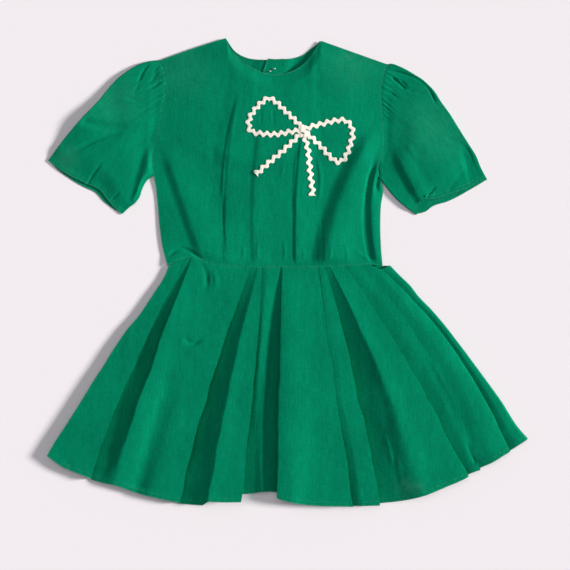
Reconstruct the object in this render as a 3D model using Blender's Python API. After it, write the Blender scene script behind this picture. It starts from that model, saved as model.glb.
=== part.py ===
"""A girl's cotton swing dress, laid flat on its back.

The dress is built as it is cut and sewn: a bodice front, two bodice backs that overlap at the
centre back and button there, two short gathered sleeves, a flared skirt front and back, and a
bow of zigzag braid on the chest. Every panel is a wall of cloth. Left and right are those of a
person who looks down on the dress, with the neck at the far side.

The tables are in millimetres on the flat dress: x to the right, y towards the neck, z up.
The waist runs near y = 0.
"""

from collections import namedtuple
from math import asin, cos, pi, sin

import bmesh
import bpy
from mathutils import Vector
from mathutils.bvhtree import BVHTree

MM = 0.001

# Driving dimensions of the finished dress, in millimetres
DRESS_LENGTH = 677.0        # neck point to lowest hem
HEM_SPREAD = 697.0          # across the spread hem
CLOTH = 1.2                 # thickness of one layer
SEAM_GAP = 0.5              # between two panels that meet at a seam
SIDE_SEAM_GAP = 0.9         # the same at the skirt's left seam, whose edges slope
LAYER_GAP = 0.3             # between a panel and what lies on it
EDGE_ROLL = 2.6             # outer radius where a tube of cloth folds over at its edge
BODICE_PUFF = 5.0           # how far the middle of the bodice front stands above its edges
BUTTON_WIDTH = 11.0
BUTTON_DEPTH = 2.0
BUTTON_BEVEL = 0.5
WAIST_Z = 5.0               # height of the waist seam over the floor
PLACKET = 24.0              # overlap of the two bodice backs
BRAID_BAND = 5.6            # height of the braid's band
BRAID_WAVE = 1.8            # how far its wave swings to each side
BRAID_PITCH = 10.7          # length of one wave
BRAID_DEPTH = 1.0
BRAID_LIFT = 0.45           # from the cloth's surface to the braid

# The tables below are drawn for this size, and graded to the driving dimensions
PATTERN_LENGTH = 677.0
PATTERN_SPREAD = 697.0

# Grid divisions: across and along each panel
SKIRT_FRONT_GRID = (92, 12)
SKIRT_BACK_GRID = (33, 12)
BODICE_FRONT_GRID = (40, 15)
BODICE_BACK_GRID = (14, 15)
ARMHOLE_STEPS = 9           # of the bodice's 15 rows, those beside an armhole
SLEEVE_TOP_STEPS = 36       # a whole number of times the armhole's steps
SLEEVE_ROLL_STEPS = 3
SLEEVE_LENGTH_STEPS = 9
SKIRT_ROLL_STEPS = 5
BRAID_STEPS_PER_WAVE = 4

# The lowest a top layer's upper face may go: over one layer on the floor, and a gap
LOWEST_TOP = 2.0 * CLOTH + LAYER_GAP

# Share of the skirt front's width over which it is fitted to its side outlines
EDGE_SHARE = 0.06

# Shares of a sleeve's edge over which its roll turns into the armhole or hem, and of its hem
ROLL_BLEND = 0.25
HEM_BLEND = 0.15
SEAM_BLEND = 0.1            # and of its length over which it comes to the bodice's height

# Where the waist seam runs, left to right
WAIST_LINE = [(-174, 8), (-156, 17), (-139, 20), (-123, 17), (-105, 11), (-76, 7), (-11, 6),
              (61, 7), (98, 9), (122, 10), (137, 8)]

# The skirt's top edge dips below the seam in a notch at the right, and its corner stands out
SKIRT_NOTCH = [(122, 8), (130, 4), (138, 4), (148, 9)]

# Folds of the skirt front, left to right. Each line runs from the waist through a point half
# way down to the hem; z is its upper face there.
SkirtFold = namedtuple("SkirtFold", "name waist_x mid_x mid_y hem_x hem_y waist_z mid_z hem_z")
SKIRT_FOLDS = [
    SkirtFold("seam on the edge roll", -167, -255, -125, -341, -266, 5.0, 9.5, 11.0),
    SkirtFold("left flap", -158, -244, -141, -316, -285, 5.0, 10.2, 11.5),
    SkirtFold("flap edge", -147, -229, -152, -282, -299.5, 4.9, 10.2, 10.0),
    SkirtFold("first trough", -143.5, -226, -152.5, -278.5, -300.5, 4.2, 3.4, 3.4),
    SkirtFold("first slope", -140, -212, -156, -270, -305, 4.4, 5.5, 9.0),
    SkirtFold("first crest", -136.5, -204, -157, -252, -308.5, 5.0, 14.5, 12.5),
    SkirtFold("first ridge", -123, -173, -161.5, -222, -319, 4.9, 12.4, 12.0),
    SkirtFold("second trough", -120, -170, -162, -218.5, -319.5, 4.8, 10.6, 5.0),
    SkirtFold("second slope", -105, -150, -163.5, -194, -326.5, 4.9, 11.5, 10.5),
    SkirtFold("second crest", -84, -126, -165, -170, -331, 5.0, 12.8, 13.0),
    SkirtFold("second edge", -52.5, -112.5, -166, -155, -334, 4.9, 12.0, 12.5),
    SkirtFold("third trough", -49, -109.5, -166, -151.5, -335.5, 4.2, 3.4, 3.4),
    SkirtFold("third slope", -46, -93, -166, -125, -337.5, 4.4, 10.5, 12.5),
    SkirtFold("third crest", -42.5, -83, -166, -113.5, -331.5, 5.0, 17.5, 20.0),
    SkirtFold("third ridge", -39, -66, -166, -90, -332.5, 5.0, 15.0, 17.5),
    SkirtFold("third edge", -35.5, -50, -166, -67, -332, 4.9, 13.8, 16.5),
    SkirtFold("recess left", -32, -47, -166, -63.5, -324, 4.2, 4.0, 3.4),
    SkirtFold("recess slope", -28, -44, -166.2, -50, -321, 4.7, 7.2, 5.0),
    SkirtFold("recess ridge", -22, -38, -166.5, -39, -318.5, 4.8, 7.6, 11.5),
    SkirtFold("recess fall", -14, -29, -166.8, -30, -318.5, 4.6, 4.4, 6.5),
    SkirtFold("recess right", -10, -19, -167, -21.5, -321, 4.2, 3.4, 3.4),
    SkirtFold("centre edge", -6.5, -15, -167, -17, -325.5, 5.0, 16.0, 19.0),
    SkirtFold("centre crest", 7, 5, -167, 4, -332, 5.0, 17.8, 20.0),
    SkirtFold("fifth trough", 28, 43, -167, 35, -337, 4.9, 16.6, 16.6),
    SkirtFold("fifth crest", 38, 55, -167, 58, -338.5, 5.0, 17.0, 16.0),
    SkirtFold("sixth edge", 43, 68.5, -167, 94, -339, 4.9, 16.2, 14.4),
    SkirtFold("sixth trough", 46.5, 71.5, -167, 97.5, -339, 4.5, 13.0, 6.5),
    SkirtFold("sixth crest", 50, 78, -166.5, 107, -338.5, 4.8, 13.4, 12.0),
    SkirtFold("seventh edge", 53.5, 99, -166, 134, -337.5, 4.9, 12.8, 11.6),
    SkirtFold("seventh trough", 57, 102, -165.5, 137.5, -336.5, 4.2, 3.4, 3.4),
    SkirtFold("seventh slope", 60, 127, -163, 156, -333, 4.4, 14.0, 7.0),
    SkirtFold("seventh crest", 63.5, 139, -162, 178, -328.5, 5.0, 18.5, 13.0),
    SkirtFold("seventh ridge", 73, 160, -158, 214, -316.5, 5.0, 16.8, 13.0),
    SkirtFold("eighth edge", 84, 182.5, -150, 259, -295.5, 4.9, 15.4, 11.4),
    SkirtFold("eighth trough", 87, 185.5, -149.5, 262.5, -295, 4.2, 4.2, 3.4),
    SkirtFold("eighth ridge", 97, 202, -143, 269, -289.5, 4.9, 12.8, 9.2),
    SkirtFold("ninth edge", 107.5, 214.5, -140, 278, -286.5, 4.9, 12.2, 9.4),
    SkirtFold("ninth trough", 110.5, 217.5, -139.5, 281.5, -286, 4.2, 5.0, 3.4),
    SkirtFold("ninth crest", 122, 229, -130, 298, -274.5, 4.9, 11.5, 10.0),
    SkirtFold("last shoulder", 133, 242.5, -124, 316, -264, 4.9, 7.0, 8.0),
    SkirtFold("edge trough", 136.5, 247, -120, 323, -258, 4.2, 4.2, 3.4),
    SkirtFold("edge ridge", 142, 251.5, -117, 336, -249.5, 5.0, 6.4, 6.8),
    SkirtFold("right edge", 147.5, 255.5, -114, 347.5, -242, 2.8, 2.9, 2.9),
]

# Outlines of the skirt at its sides; the left one is a rolled edge, with the seam on its top
SKIRT_LEFT_EDGE = [(-172, 8.4), (-180, -10), (-193, -30), (-204, -47), (-216, -64.5), (-231, -82),
                   (-243, -99), (-255, -117), (-265, -134), (-277, -152), (-298, -186),
                   (-320, -221), (-337, -247), (-348, -266)]
SKIRT_RIGHT_EDGE = [(148, 9), (163, -6.5), (177, -20), (189, -35.5), (206, -53), (221, -70),
                    (250, -107), (279, -146), (308, -186), (337, -230), (348, -242)]

# The skirt back, flat on the floor: its hem, and its low ridges under the front's ridges
BACK_HEM = [(-345.5, -267), (-291, -292), (-262, -303), (-214, -314), (-156, -327), (-91, -329),
            (-37, -317), (-16, -317), (18, -331), (76, -335), (134, -333), (177, -324),
            (221, -308), (271, -283.5), (308, -267), (347.5, -243)]
BackRidge = namedtuple("BackRidge", "name waist_share mid_share hem_share half_share mid_z hem_z")
BACK_RIDGES = [
    BackRidge("under the first crest", 0.11, 0.133, 0.138, 0.024, 3.0, 4.0),
    BackRidge("under the third crest", 0.42, 0.355, 0.353, 0.026, 5.0, 6.0),
    BackRidge("under the centre crest", 0.58, 0.545, 0.510, 0.040, 6.0, 7.5),
    BackRidge("under the seventh crest", 0.77, 0.775, 0.740, 0.036, 4.5, 5.5),
]

# Outlines of the bodice, from the waist up, and of its neck
SIDE_LEFT = [(-174, 8), (-181, 34), (-185, 60), (-188, 92), (-191, 122), (-194, 139)]
ARMHOLE_LEFT = [(-194, 139), (-195, 154), (-195, 169), (-192, 186), (-185, 212), (-181, 237),
                (-176, 263), (-176, 281), (-179, 296), (-185, 306)]
SIDE_RIGHT = [(137, 8), (135, 34), (134, 67), (135, 96), (138, 119), (136, 130), (132, 139)]
ARMHOLE_RIGHT = [(132, 139), (131, 150), (135, 163), (139, 180), (138, 205),
                 (136, 234), (135, 260), (138, 283), (144, 300)]
SHOULDER_LEFT = [(-185, 306), (-137, 323), (-90, 338)]
SHOULDER_RIGHT = [(48, 334), (96, 317), (144, 300)]
NECK_FRONT = [(-90, 338), (-85, 325), (-75, 313), (-63, 302), (-50, 294), (-37, 288), (-21, 285),
              (-7, 286), (9, 291), (23, 300), (33, 311), (41, 323), (48, 334)]
NECK_BACK_LEFT = [(-90, 338), (-75, 318), (-60, 310), (-43, 307), (-31, 306), (-5, 306)]
NECK_BACK_RIGHT = [(-29, 308), (-9, 307), (7, 309), (22, 314), (35, 324), (48, 334)]
PLACKET_EDGE = [(-32, 7), (-34, 133), (-37, 234), (-36, 288), (-29, 308)]

# Upper face of the bodice front along its edges: share of the edge, height
SIDE_HEIGHT = [(0.0, WAIST_Z), (0.06, 3.0), (0.3, 2.9), (0.4, 3.3), (0.5, 6.0), (0.7, 7.0),
               (0.9, 6.0), (1.0, 2.9)]
NECKLINE_HEIGHT = [(0.0, 2.9), (0.25, 2.9), (0.33, 5.6), (0.42, 7.4), (0.58, 7.4), (0.68, 5.6),
                   (0.75, 2.9), (1.0, 2.9)]

# Folds of the bodice front: the crest passes through three points; the left flank faces away
# from the right and is the steeper one. A negative rise is a trough.
BodiceFold = namedtuple("BodiceFold", "name top_x top_y mid_x mid_y low_x low_y rise left right")
BODICE_FOLDS = [
    BodiceFold("left slant", -172, 168, -147, 96, -120, 18, 3.4, 9.0, 26.0),
    BodiceFold("left dart", -72, 248, -87, 120, -89, 16, 1.4, 5.0, 16.0),
    BodiceFold("left of centre", -40, 196, -48, 110, -47, 16, 1.4, 6.0, 14.0),
    BodiceFold("right of centre", 20, 190, 13.5, 110, 12, 24, 1.8, 5.0, 12.0),
    BodiceFold("right slant", 124, 208, 80, 108, 54, 14, 5.6, 14.0, 24.0),
    BodiceFold("side trough", 128, 172, 110, 104, 119, 18, -3.4, 5.0, 6.0),
    BodiceFold("side crest", 136, 182, 122, 104, 129, 20, 2.6, 6.0, 8.0),
]
FOLD_FADE = 45.0            # a bodice fold dies out over this length at its upper end
WAIST_FADE = 16.0           # and over this length at the waist

# Outlines of the sleeves: the folded upper edge, the underarm fold and the two hems
SLEEVE_LEFT_UPPER = [(-185, 306), (-200, 305), (-214, 301), (-229, 293), (-243, 283), (-258, 268),
                     (-272, 250), (-301, 219), (-330, 185), (-339, 173), (-348, 161)]
SLEEVE_LEFT_LOWER = [(-194, 139), (-200, 136), (-206, 130), (-211, 121), (-216, 107), (-222, 99),
                     (-230, 93), (-241, 83)]
SLEEVE_LEFT_HEM = [(-348, 161), (-330, 147), (-313, 137), (-290, 126), (-278, 121), (-272, 117),
                   (-265, 108), (-258, 99), (-241, 83)]
SLEEVE_LEFT_UNDER_HEM = [(-348, 161), (-330, 144), (-316, 134), (-301, 125), (-293, 121),
                         (-279, 114), (-275, 110), (-269, 103), (-258, 94), (-241, 83)]
SLEEVE_RIGHT_UPPER = [(144, 300), (150, 301), (163, 297), (185, 285), (196, 278), (206, 269),
                      (214, 260), (222, 247), (235, 229), (250, 205), (264, 183), (274, 167),
                      (280, 152), (290, 133)]
SLEEVE_RIGHT_LOWER = [(132, 139), (136, 132), (142, 124), (158, 105), (170, 94.5), (187, 82)]
SLEEVE_RIGHT_HEM = [(290, 133), (280, 131), (264, 122), (250, 117), (235, 112), (221, 107),
                    (206, 105), (198, 104), (192, 96), (187, 82)]
SLEEVE_RIGHT_UNDER_HEM = [(290, 133), (264, 118), (250, 110), (231, 101), (212, 95), (199, 86),
                          (187, 82)]

# Puff of a sleeve's upper layer above its edges: share of the way from armhole to hem, height
SLEEVE_PUFF = [(0.0, 1.0), (0.15, 3.5), (0.4, 6.0), (0.75, 4.5), (1.0, 1.0)]

# Half the height of a sleeve's folded edges, along them in the same way: the underarm's, and the
# upper one's on each side; the left sleeve's upper edge stands up in the middle
UNDERARM_HALF = [(0.0, 1.65), (0.15, 2.4), (0.75, 2.4), (1.0, 1.8)]
UPPER_EDGE_HALF = {"left": [(0.0, 1.65), (0.35, 3.4), (0.62, 6.2), (0.88, 3.0), (1.0, 1.8)],
                   "right": [(0.0, 1.65), (0.5, 2.8), (1.0, 1.8)]}

# Folds of the sleeves' upper layer: three points of the fold, its rise and its half width
SleeveFold = namedtuple("SleeveFold", "name x0 y0 x1 y1 x2 y2 rise half")
SLEEVE_LEFT_FOLDS = [
    SleeveFold("underarm ridge", -193, 188, -207, 146, -219, 104, 4.6, 8.0),
    SleeveFold("cap trough", -198, 305, -209, 288, -215, 273, -2.0, 6.0),
    SleeveFold("upper trough", -306, 221, -257, 208, -206, 214, -2.2, 10.0),
    SleeveFold("lower trough", -307, 172, -259.5, 195, -213, 201, -1.4, 8.0),
]
SLEEVE_RIGHT_FOLDS = [
    SleeveFold("underarm ridge", 157, 190, 171, 150, 199, 104, 4.2, 8.0),
    SleeveFold("edge trough", 142, 292, 194, 280, 220, 240, -3.0, 6.0),
    SleeveFold("hem edge trough", 261, 186, 269, 158, 281, 130, -2.4, 7.0),
]
GATHERS = 5                 # small pleats that ease the cap into the armhole
GATHER_RISE = 1.0
GATHER_SPAN = (0.055, 0.61)  # share of the armhole, from the shoulder down
GATHER_REACH = 0.22         # share of the sleeve's length over which they die out

# Buttons, from the neck down, on the placket's centre line
BUTTON_HEIGHTS = [293, 215, 137, 59]
PLACKET_SLOPE = 18.0        # over this width a back comes down from the placket to the floor
PLACKET_FOOT = 22.0         # from the placket's edge to where the left back leaves the floor
PLACKET_END = (40.0, 25.0)  # the last button's distance from where the lift ends, and its length

# The bow of zigzag braid: the line of each strip
BRAID_STRIPS = {
    "braid_loop_left": [(11, 217), (-6, 233), (-20, 246), (-27.5, 249.5), (-35, 245.5), (-48, 232.5),
                        (-54.5, 222), (-56.5, 212), (-55, 205), (-50, 200.5), (-42, 199),
                        (-20, 197.5), (9, 202)],
    "braid_loop_right": [(33, 208.5), (48, 212.5), (68, 217.5), (77, 218.5), (84, 217), (90, 211.5),
                         (93.5, 198), (90, 183), (85.5, 170), (79, 160.5), (71.5, 158.5),
                         (62, 165), (49, 179), (37, 190.5)],
    "braid_tail_left": [(11, 191), (-8, 173), (-27, 157), (-46, 140)],
    "braid_tail_right": [(26, 187), (29.5, 172), (31, 157), (33, 137), (35.5, 118), (36, 109.5)],
    "braid_knot": [(18, 210), (23, 202), (28, 194)],
}
BRAID_END_TAPER = 0.55      # the strips that end beside the knot narrow to this share
BRAID_TAPER_LENGTH = 9.0
TAPERED_STARTS = ("braid_loop_left", "braid_loop_right", "braid_tail_left", "braid_tail_right")
TAPERED_ENDS = ("braid_loop_left", "braid_loop_right")

# Colours, linear RGB
GREEN_COTTON = (0.004, 0.205, 0.102, 1.0)
CREAM_BRAID = (0.79, 0.78, 0.66, 1.0)
GREEN_PLASTIC = (0.006, 0.130, 0.068, 1.0)


def clear_scene():
    for old in list(bpy.data.objects):
        bpy.data.objects.remove(old, do_unlink=True)


def make_material(name, colour, roughness):
    material = bpy.data.materials.new(name)
    material.use_nodes = True
    shader = material.node_tree.nodes["Principled BSDF"]
    shader.inputs["Base Color"].default_value = colour
    shader.inputs["Roughness"].default_value = roughness
    shader.inputs["Metallic"].default_value = 0.0
    return material


def ease(share):
    """A smooth step from 0 to 1."""
    share = min(max(share, 0.0), 1.0)
    return share * share * (3.0 - 2.0 * share)


def bump(distance, half):
    """A smooth hill that is exactly 0 beyond its half width."""
    return 0.5 + 0.5 * cos(pi * distance / half) if abs(distance) < half else 0.0


def knots_of(points):
    """Share of the way along a run of points at each of them, by straight distance."""
    run = [0.0]
    for here, there in zip(points, points[1:]):
        run.append(run[-1] + (there - here).length)
    return [distance / run[-1] for distance in run]


def through(points, knots, share, crested=False):
    """Point at a share of a smooth curve through points, each at its own knot.

    A crested curve is level at each crest and trough, so that it never swings past a point.
    """
    last = len(points) - 1
    share = min(max(share, 0.0), 1.0)
    i = max(k for k in range(last) if knots[k] <= share)

    def slope(k):
        if k == 0:
            return (points[1] - points[0]) / (knots[1] - knots[0])
        if k == last:
            return (points[last] - points[last - 1]) / (knots[last] - knots[last - 1])
        before = knots[k] - knots[k - 1]
        after = knots[k + 1] - knots[k]
        rise_before = (points[k] - points[k - 1]) / before
        rise_after = (points[k + 1] - points[k]) / after
        if crested:
            return Vector([2 * a * b / (a + b) if a * b > 0 else 0.0 for a, b in zip(rise_before, rise_after)])
        return (rise_before * after + rise_after * before) / (before + after)

    width = knots[i + 1] - knots[i]
    t = (share - knots[i]) / width
    return (points[i] * (2 * t ** 3 - 3 * t ** 2 + 1) + slope(i) * width * (t ** 3 - 2 * t ** 2 + t)
            + points[i + 1] * (3 * t ** 2 - 2 * t ** 3) + slope(i + 1) * width * (t ** 3 - t ** 2))


def curve(table):
    """A smooth curve, as a function of 0 to 1, through a table of points."""
    points = [Vector(row) for row in table]
    knots = knots_of(points)
    return lambda share: through(points, knots, share)


def faceted(line, steps):
    """The straight-sided run of a curve through evenly spaced points of it."""
    stops = [line(k / steps) for k in range(steps + 1)]

    def place(share):
        k = min(int(share * steps), steps - 1)
        return stops[k].lerp(stops[k + 1], share * steps - k)
    return place


def joined(parts):
    """One function of 0 to 1 from several curves, each given with the share where it ends."""
    def place(share):
        start = 0.0
        for line, end in parts:
            if share <= end or line is parts[-1][0]:
                return line((share - start) / (end - start))
            start = end
    return place


def height_along(table):
    """Height as a smooth function of a share, from rows of share and height."""
    def height(share):
        for (share_a, height_a), (share_b, height_b) in zip(table, table[1:]):
            if share <= share_b:
                return height_a + (height_b - height_a) * ease((share - share_a) / (share_b - share_a))
        return table[-1][1]
    return height


def lagrange(first, middle, last, t):
    """Value at t of the parabola through its values at 0, a half and 1."""
    return (first * (1 - t) * (1 - 2 * t) + middle * 4 * t * (1 - t) + last * t * (2 * t - 1))


def patch(bottom, top, left, right):
    """A four-sided sheet, as a function of (across, up), between four curves."""
    def place(s, t):
        corners = ((bottom(0.0) * (1 - s) + bottom(1.0) * s) * (1 - t)
                   + (top(0.0) * (1 - s) + top(1.0) * s) * t)
        return (bottom(s) * (1 - t) + top(s) * t + left(t) * (1 - s) + right(t) * s) - corners
    return place


def inset(line, share, distance):
    """A point beside a curve, at a distance to the right of its run."""
    step = 0.01
    run = line(min(share + step, 1.0)) - line(max(share - step, 0.0))
    return line(share) + Vector((run.y, -run.x)).normalized() * distance


def graded(point):
    """The pattern's point at the dress's own size, in metres."""
    return Vector((point[0] * HEM_SPREAD / PATTERN_SPREAD, point[1] * DRESS_LENGTH / PATTERN_LENGTH,
                   point[2])) * MM


def sheet_mesh(name, grid, surface, closed=False, outside_down=False):
    """A grid moved onto a surface of (across, up), with its lowest faces turned up or down."""
    mesh = bpy.data.meshes.new(name)
    shape = bmesh.new()
    bmesh.ops.create_grid(shape, x_segments=grid[0], y_segments=grid[1], size=0.5)
    for vertex in shape.verts:
        vertex.co = graded(surface(vertex.co.x + 0.5, vertex.co.y + 0.5))
    if closed:
        bmesh.ops.remove_doubles(shape, verts=shape.verts, dist=0.00001)
    shape.normal_update()
    lowest = min(shape.faces, key=lambda face: face.calc_center_median().z)
    if (lowest.normal.z < 0.0) != outside_down:
        bmesh.ops.reverse_faces(shape, faces=shape.faces)
    shape.to_mesh(mesh)
    shape.free()
    mesh.shade_smooth()
    return mesh


def cloth_panel(name, mesh, material, thickness=CLOTH):
    """A panel of cloth: the sheet is its outer face, and the wall grows to the inside."""
    panel = bpy.data.objects.new(name, mesh)
    bpy.context.collection.objects.link(panel)
    mesh.materials.append(material)
    wall = panel.modifiers.new("cloth thickness", "SOLIDIFY")
    wall.thickness = thickness * MM
    wall.offset = -1.0
    wall.use_even_offset = True
    wall.use_rim = True
    return panel


def height_by_x(table):
    """Second column of a table as a smooth function of its first column."""
    points = [Vector((row[1], 0.0)) for row in table]
    start, end = table[0][0], table[-1][0]
    knots = [(row[0] - start) / (end - start) for row in table]
    return lambda x: through(points, knots, (x - start) / (end - start)).x


waist_y = height_by_x(WAIST_LINE)
notch_y = height_by_x(SKIRT_NOTCH)


def skirt_top_y(x):
    """The skirt's top edge, one seam gap below the bodice, and in its notch at the right."""
    if x > WAIST_LINE[-1][0]:
        return notch_y(x)
    return waist_y(x) - SEAM_GAP if x < SKIRT_NOTCH[0][0] else min(notch_y(x), waist_y(x) - SEAM_GAP)


def skirt_front_surface():
    """The skirt front, through all its fold lines, as a function of (across, up)."""
    hem = [Vector((fold.hem_x, fold.hem_y, fold.hem_z)) for fold in SKIRT_FOLDS]
    middle = [Vector((fold.mid_x, fold.mid_y, fold.mid_z)) for fold in SKIRT_FOLDS]
    waist = [Vector((fold.waist_x, skirt_top_y(fold.waist_x), fold.waist_z)) for fold in SKIRT_FOLDS]
    knots = [(a + b) / 2 for a, b in zip(knots_of(hem), knots_of(middle))]
    left, right = curve(SKIRT_LEFT_EDGE), curve(SKIRT_RIGHT_EDGE)

    def place(s, up):
        down = 1.0 - up
        section = [lagrange(*ends, down) for ends in zip(waist, middle, hem)]
        point = through(section, knots, s, crested=True)
        left_miss = inset(left, down, -EDGE_ROLL - SIDE_SEAM_GAP) - section[0].xy
        right_miss = right(down) - section[-1].xy
        miss = left_miss * ease(1.0 - s / EDGE_SHARE) + right_miss * ease(1.0 - (1.0 - s) / EDGE_SHARE)
        point += miss.to_3d()
        at_waist = through(waist, knots, s, crested=True)
        point.y += (skirt_top_y(at_waist.x) - at_waist.y) * (1.0 - down) ** 4
        point.y = min(point.y, skirt_top_y(point.x))
        point.z = max(point.z, LOWEST_TOP)
        return point
    return place


def skirt_back_surface():
    """The skirt back's outer face: flat on the floor, and rolled up and over at its left edge."""
    left_outline, right_outline = curve(SKIRT_LEFT_EDGE), curve(SKIRT_RIGHT_EDGE)
    hem = curve(BACK_HEM)

    def left(share):
        return inset(left_outline, share, -EDGE_ROLL)

    def right(share):
        return inset(right_outline, share, SEAM_GAP)

    def top_edge(s):
        x = left(0.0).x + (right(0.0).x - left(0.0).x) * s
        return Vector((x, skirt_top_y(x)))

    flat = patch(hem, top_edge, lambda t: left(1 - t), lambda t: right(1 - t))
    roll_share = SKIRT_ROLL_STEPS / SKIRT_BACK_GRID[0]
    seam = SKIRT_FOLDS[0]

    def place(u, up):
        down = 1.0 - up
        if u >= roll_share:
            s = (u - roll_share) / (1.0 - roll_share)
            spot = flat(s, up)
            rise = 0.0
            for ridge in BACK_RIDGES:
                centre = lagrange(ridge.waist_share, ridge.mid_share, ridge.hem_share, down)
                rise += lagrange(0.0, ridge.mid_z, ridge.hem_z, down) * bump(s - centre, ridge.half_share)
            return Vector((spot.x, spot.y, max(rise, 0.0)))
        edge = flat(0.0, up)
        outward = (left_outline(down) - left(down)).normalized()
        turn = pi * (1.0 - u / roll_share)
        spot = edge + outward * EDGE_ROLL * sin(turn)
        half = lagrange(seam.waist_z, seam.mid_z, seam.hem_z, down) / 2
        return Vector((spot.x, spot.y, half - half * cos(turn)))
    return place


def fold_rise(x, y):
    """Sum of the bodice front's folds at a place."""
    total = 0.0
    for fold in BODICE_FOLDS:
        if not fold.low_y - FOLD_FADE < y < fold.top_y + FOLD_FADE:
            continue
        crest = crest_x(fold, y)
        half = fold.left if x < crest else fold.right
        along = ease((fold.top_y + FOLD_FADE / 2 - y) / FOLD_FADE)
        total += fold.rise * bump(x - crest, 2.0 * half) * along
    return total * ease((y - waist_y(x)) / WAIST_FADE)


def crest_x(fold, y):
    """Where a bodice fold's crest lies at a height, on the parabola through its three points."""
    low, mid, top = fold.low_y, fold.mid_y, fold.top_y
    return (fold.low_x * (y - mid) * (y - top) / ((low - mid) * (low - top))
            + fold.mid_x * (y - low) * (y - top) / ((mid - low) * (mid - top))
            + fold.top_x * (y - low) * (y - mid) / ((top - low) * (top - mid)))


def raised(line, height):
    """A plan curve with a height along it."""
    def place(share):
        spot = line(share)
        return Vector((spot.x, spot.y, height(share)))
    return place


def bodice_front_surface():
    """The bodice front's upper face, as a function of (across, up)."""
    first_x, last_x = WAIST_LINE[0][0], WAIST_LINE[-1][0]

    def bottom(s):
        x = first_x + (last_x - first_x) * s
        return Vector((x, waist_y(x), WAIST_Z))

    edge_height = height_along(SIDE_HEIGHT)
    left = raised(joined([(curve(SIDE_LEFT), 0.4), (curve(ARMHOLE_LEFT), 1.0)]), edge_height)
    right = raised(joined([(curve(SIDE_RIGHT), 0.4), (curve(ARMHOLE_RIGHT), 1.0)]), edge_height)
    top = raised(joined([(curve(SHOULDER_LEFT), 0.25), (curve(NECK_FRONT), 0.75),
                         (curve(SHOULDER_RIGHT), 1.0)]), height_along(NECKLINE_HEIGHT))
    frame = patch(bottom, top, left, right)

    def place(s, t):
        point = frame(s, t)
        plateau = (1 - (2 * s - 1) ** 4) * (1 - (2 * t - 1) ** 4)
        point.z += BODICE_PUFF * plateau + fold_rise(point.x, point.y)
        point.z = max(point.z, LOWEST_TOP)
        return point
    return place


def placket_lift(y):
    """How far the buttons lift the placket off the floor: fully, but for its end at the waist."""
    reach, length = PLACKET_END
    return (BUTTON_DEPTH + LAYER_GAP) * ease((y - BUTTON_HEIGHTS[-1] + reach) / length)


def bodice_back_surface(side):
    """Lower face of one bodice back; the left one lies under the right one at the placket."""
    edge = curve(PLACKET_EDGE)
    shift = Vector((PLACKET, 0.0)) if side == "left" else Vector((0.0, 0.0))
    if side == "left":
        outer = joined([(curve(SIDE_LEFT), 0.4), (curve(ARMHOLE_LEFT), 1.0)])
        top = joined([(curve(SHOULDER_LEFT), 0.5), (curve(NECK_BACK_LEFT), 1.0)])
        start, end = WAIST_LINE[0][0], PLACKET_EDGE[0][0] + PLACKET
        frame_edges = (outer, lambda t: edge(t) + shift)
    else:
        outer = joined([(curve(SIDE_RIGHT), 0.4), (curve(ARMHOLE_RIGHT), 1.0)])
        top = joined([(curve(NECK_BACK_RIGHT), 0.5), (curve(SHOULDER_RIGHT), 1.0)])
        start, end = PLACKET_EDGE[0][0], WAIST_LINE[-1][0]
        frame_edges = (edge, outer)

    def bottom(s):
        x = start + (end - start) * s
        return Vector((x, waist_y(x)))

    def straight_top(s):
        spot = top(s)
        corner = frame_edges[1](1.0) if side == "left" else frame_edges[0](1.0)
        near = ease(1.0 - abs(s - (1.0 if side == "left" else 0.0)) / 0.2)
        return spot + (corner - top(1.0 if side == "left" else 0.0)) * near

    frame = patch(bottom, straight_top, *frame_edges)

    def place(s, t):
        spot = frame(s, t)
        crossing = edge(t).x
        lift = placket_lift(spot.y)
        if side == "left":
            height = lift * ease((spot.x - crossing + PLACKET_FOOT) / PLACKET_SLOPE)
        else:
            height = lift + CLOTH + 2.0 * LAYER_GAP
            height *= ease((crossing + PLACKET + PLACKET_SLOPE + 2.0 - spot.x) / PLACKET_SLOPE)
        return Vector((spot.x, spot.y, height))
    return place


def distance_to(fold, x, y):
    """Distance from a place to a fold's two straight stretches, and the share along it."""
    best, along = 1e9, 0.0
    stretches = (((fold.x0, fold.y0), (fold.x1, fold.y1)), ((fold.x1, fold.y1), (fold.x2, fold.y2)))
    for index, (start, end) in enumerate(stretches):
        run = Vector(end) - Vector(start)
        share = min(max((Vector((x, y)) - Vector(start)).dot(run) / run.length_squared, 0.0), 1.0)
        gap = (Vector((x, y)) - Vector(start) - run * share).length
        if gap < best:
            best, along = gap, (index + share) / 2.0
    return best, along


def rolled_edge(line, side, start_run, end_run):
    """How a tube's folded edge turns in: a unit vector across it, as a function of 0 to 1.

    At its ends it follows the armhole and the hem, so that the roll ends in those lines.
    """
    def across(share):
        square = (inset(line, share, side) - line(share)).normalized()
        near_start = ease(1.0 - share / ROLL_BLEND)
        near_end = ease(1.0 - (1.0 - share) / ROLL_BLEND)
        blend = square * (1.0 - near_start - near_end) + start_run * near_start + end_run * near_end
        return blend.normalized()
    return across


def run_at(line, share):
    """Unit direction in which a curve leaves one of its ends."""
    other = line(0.02) if share == 0.0 else line(0.98)
    return (other - line(share)).normalized()


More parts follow.
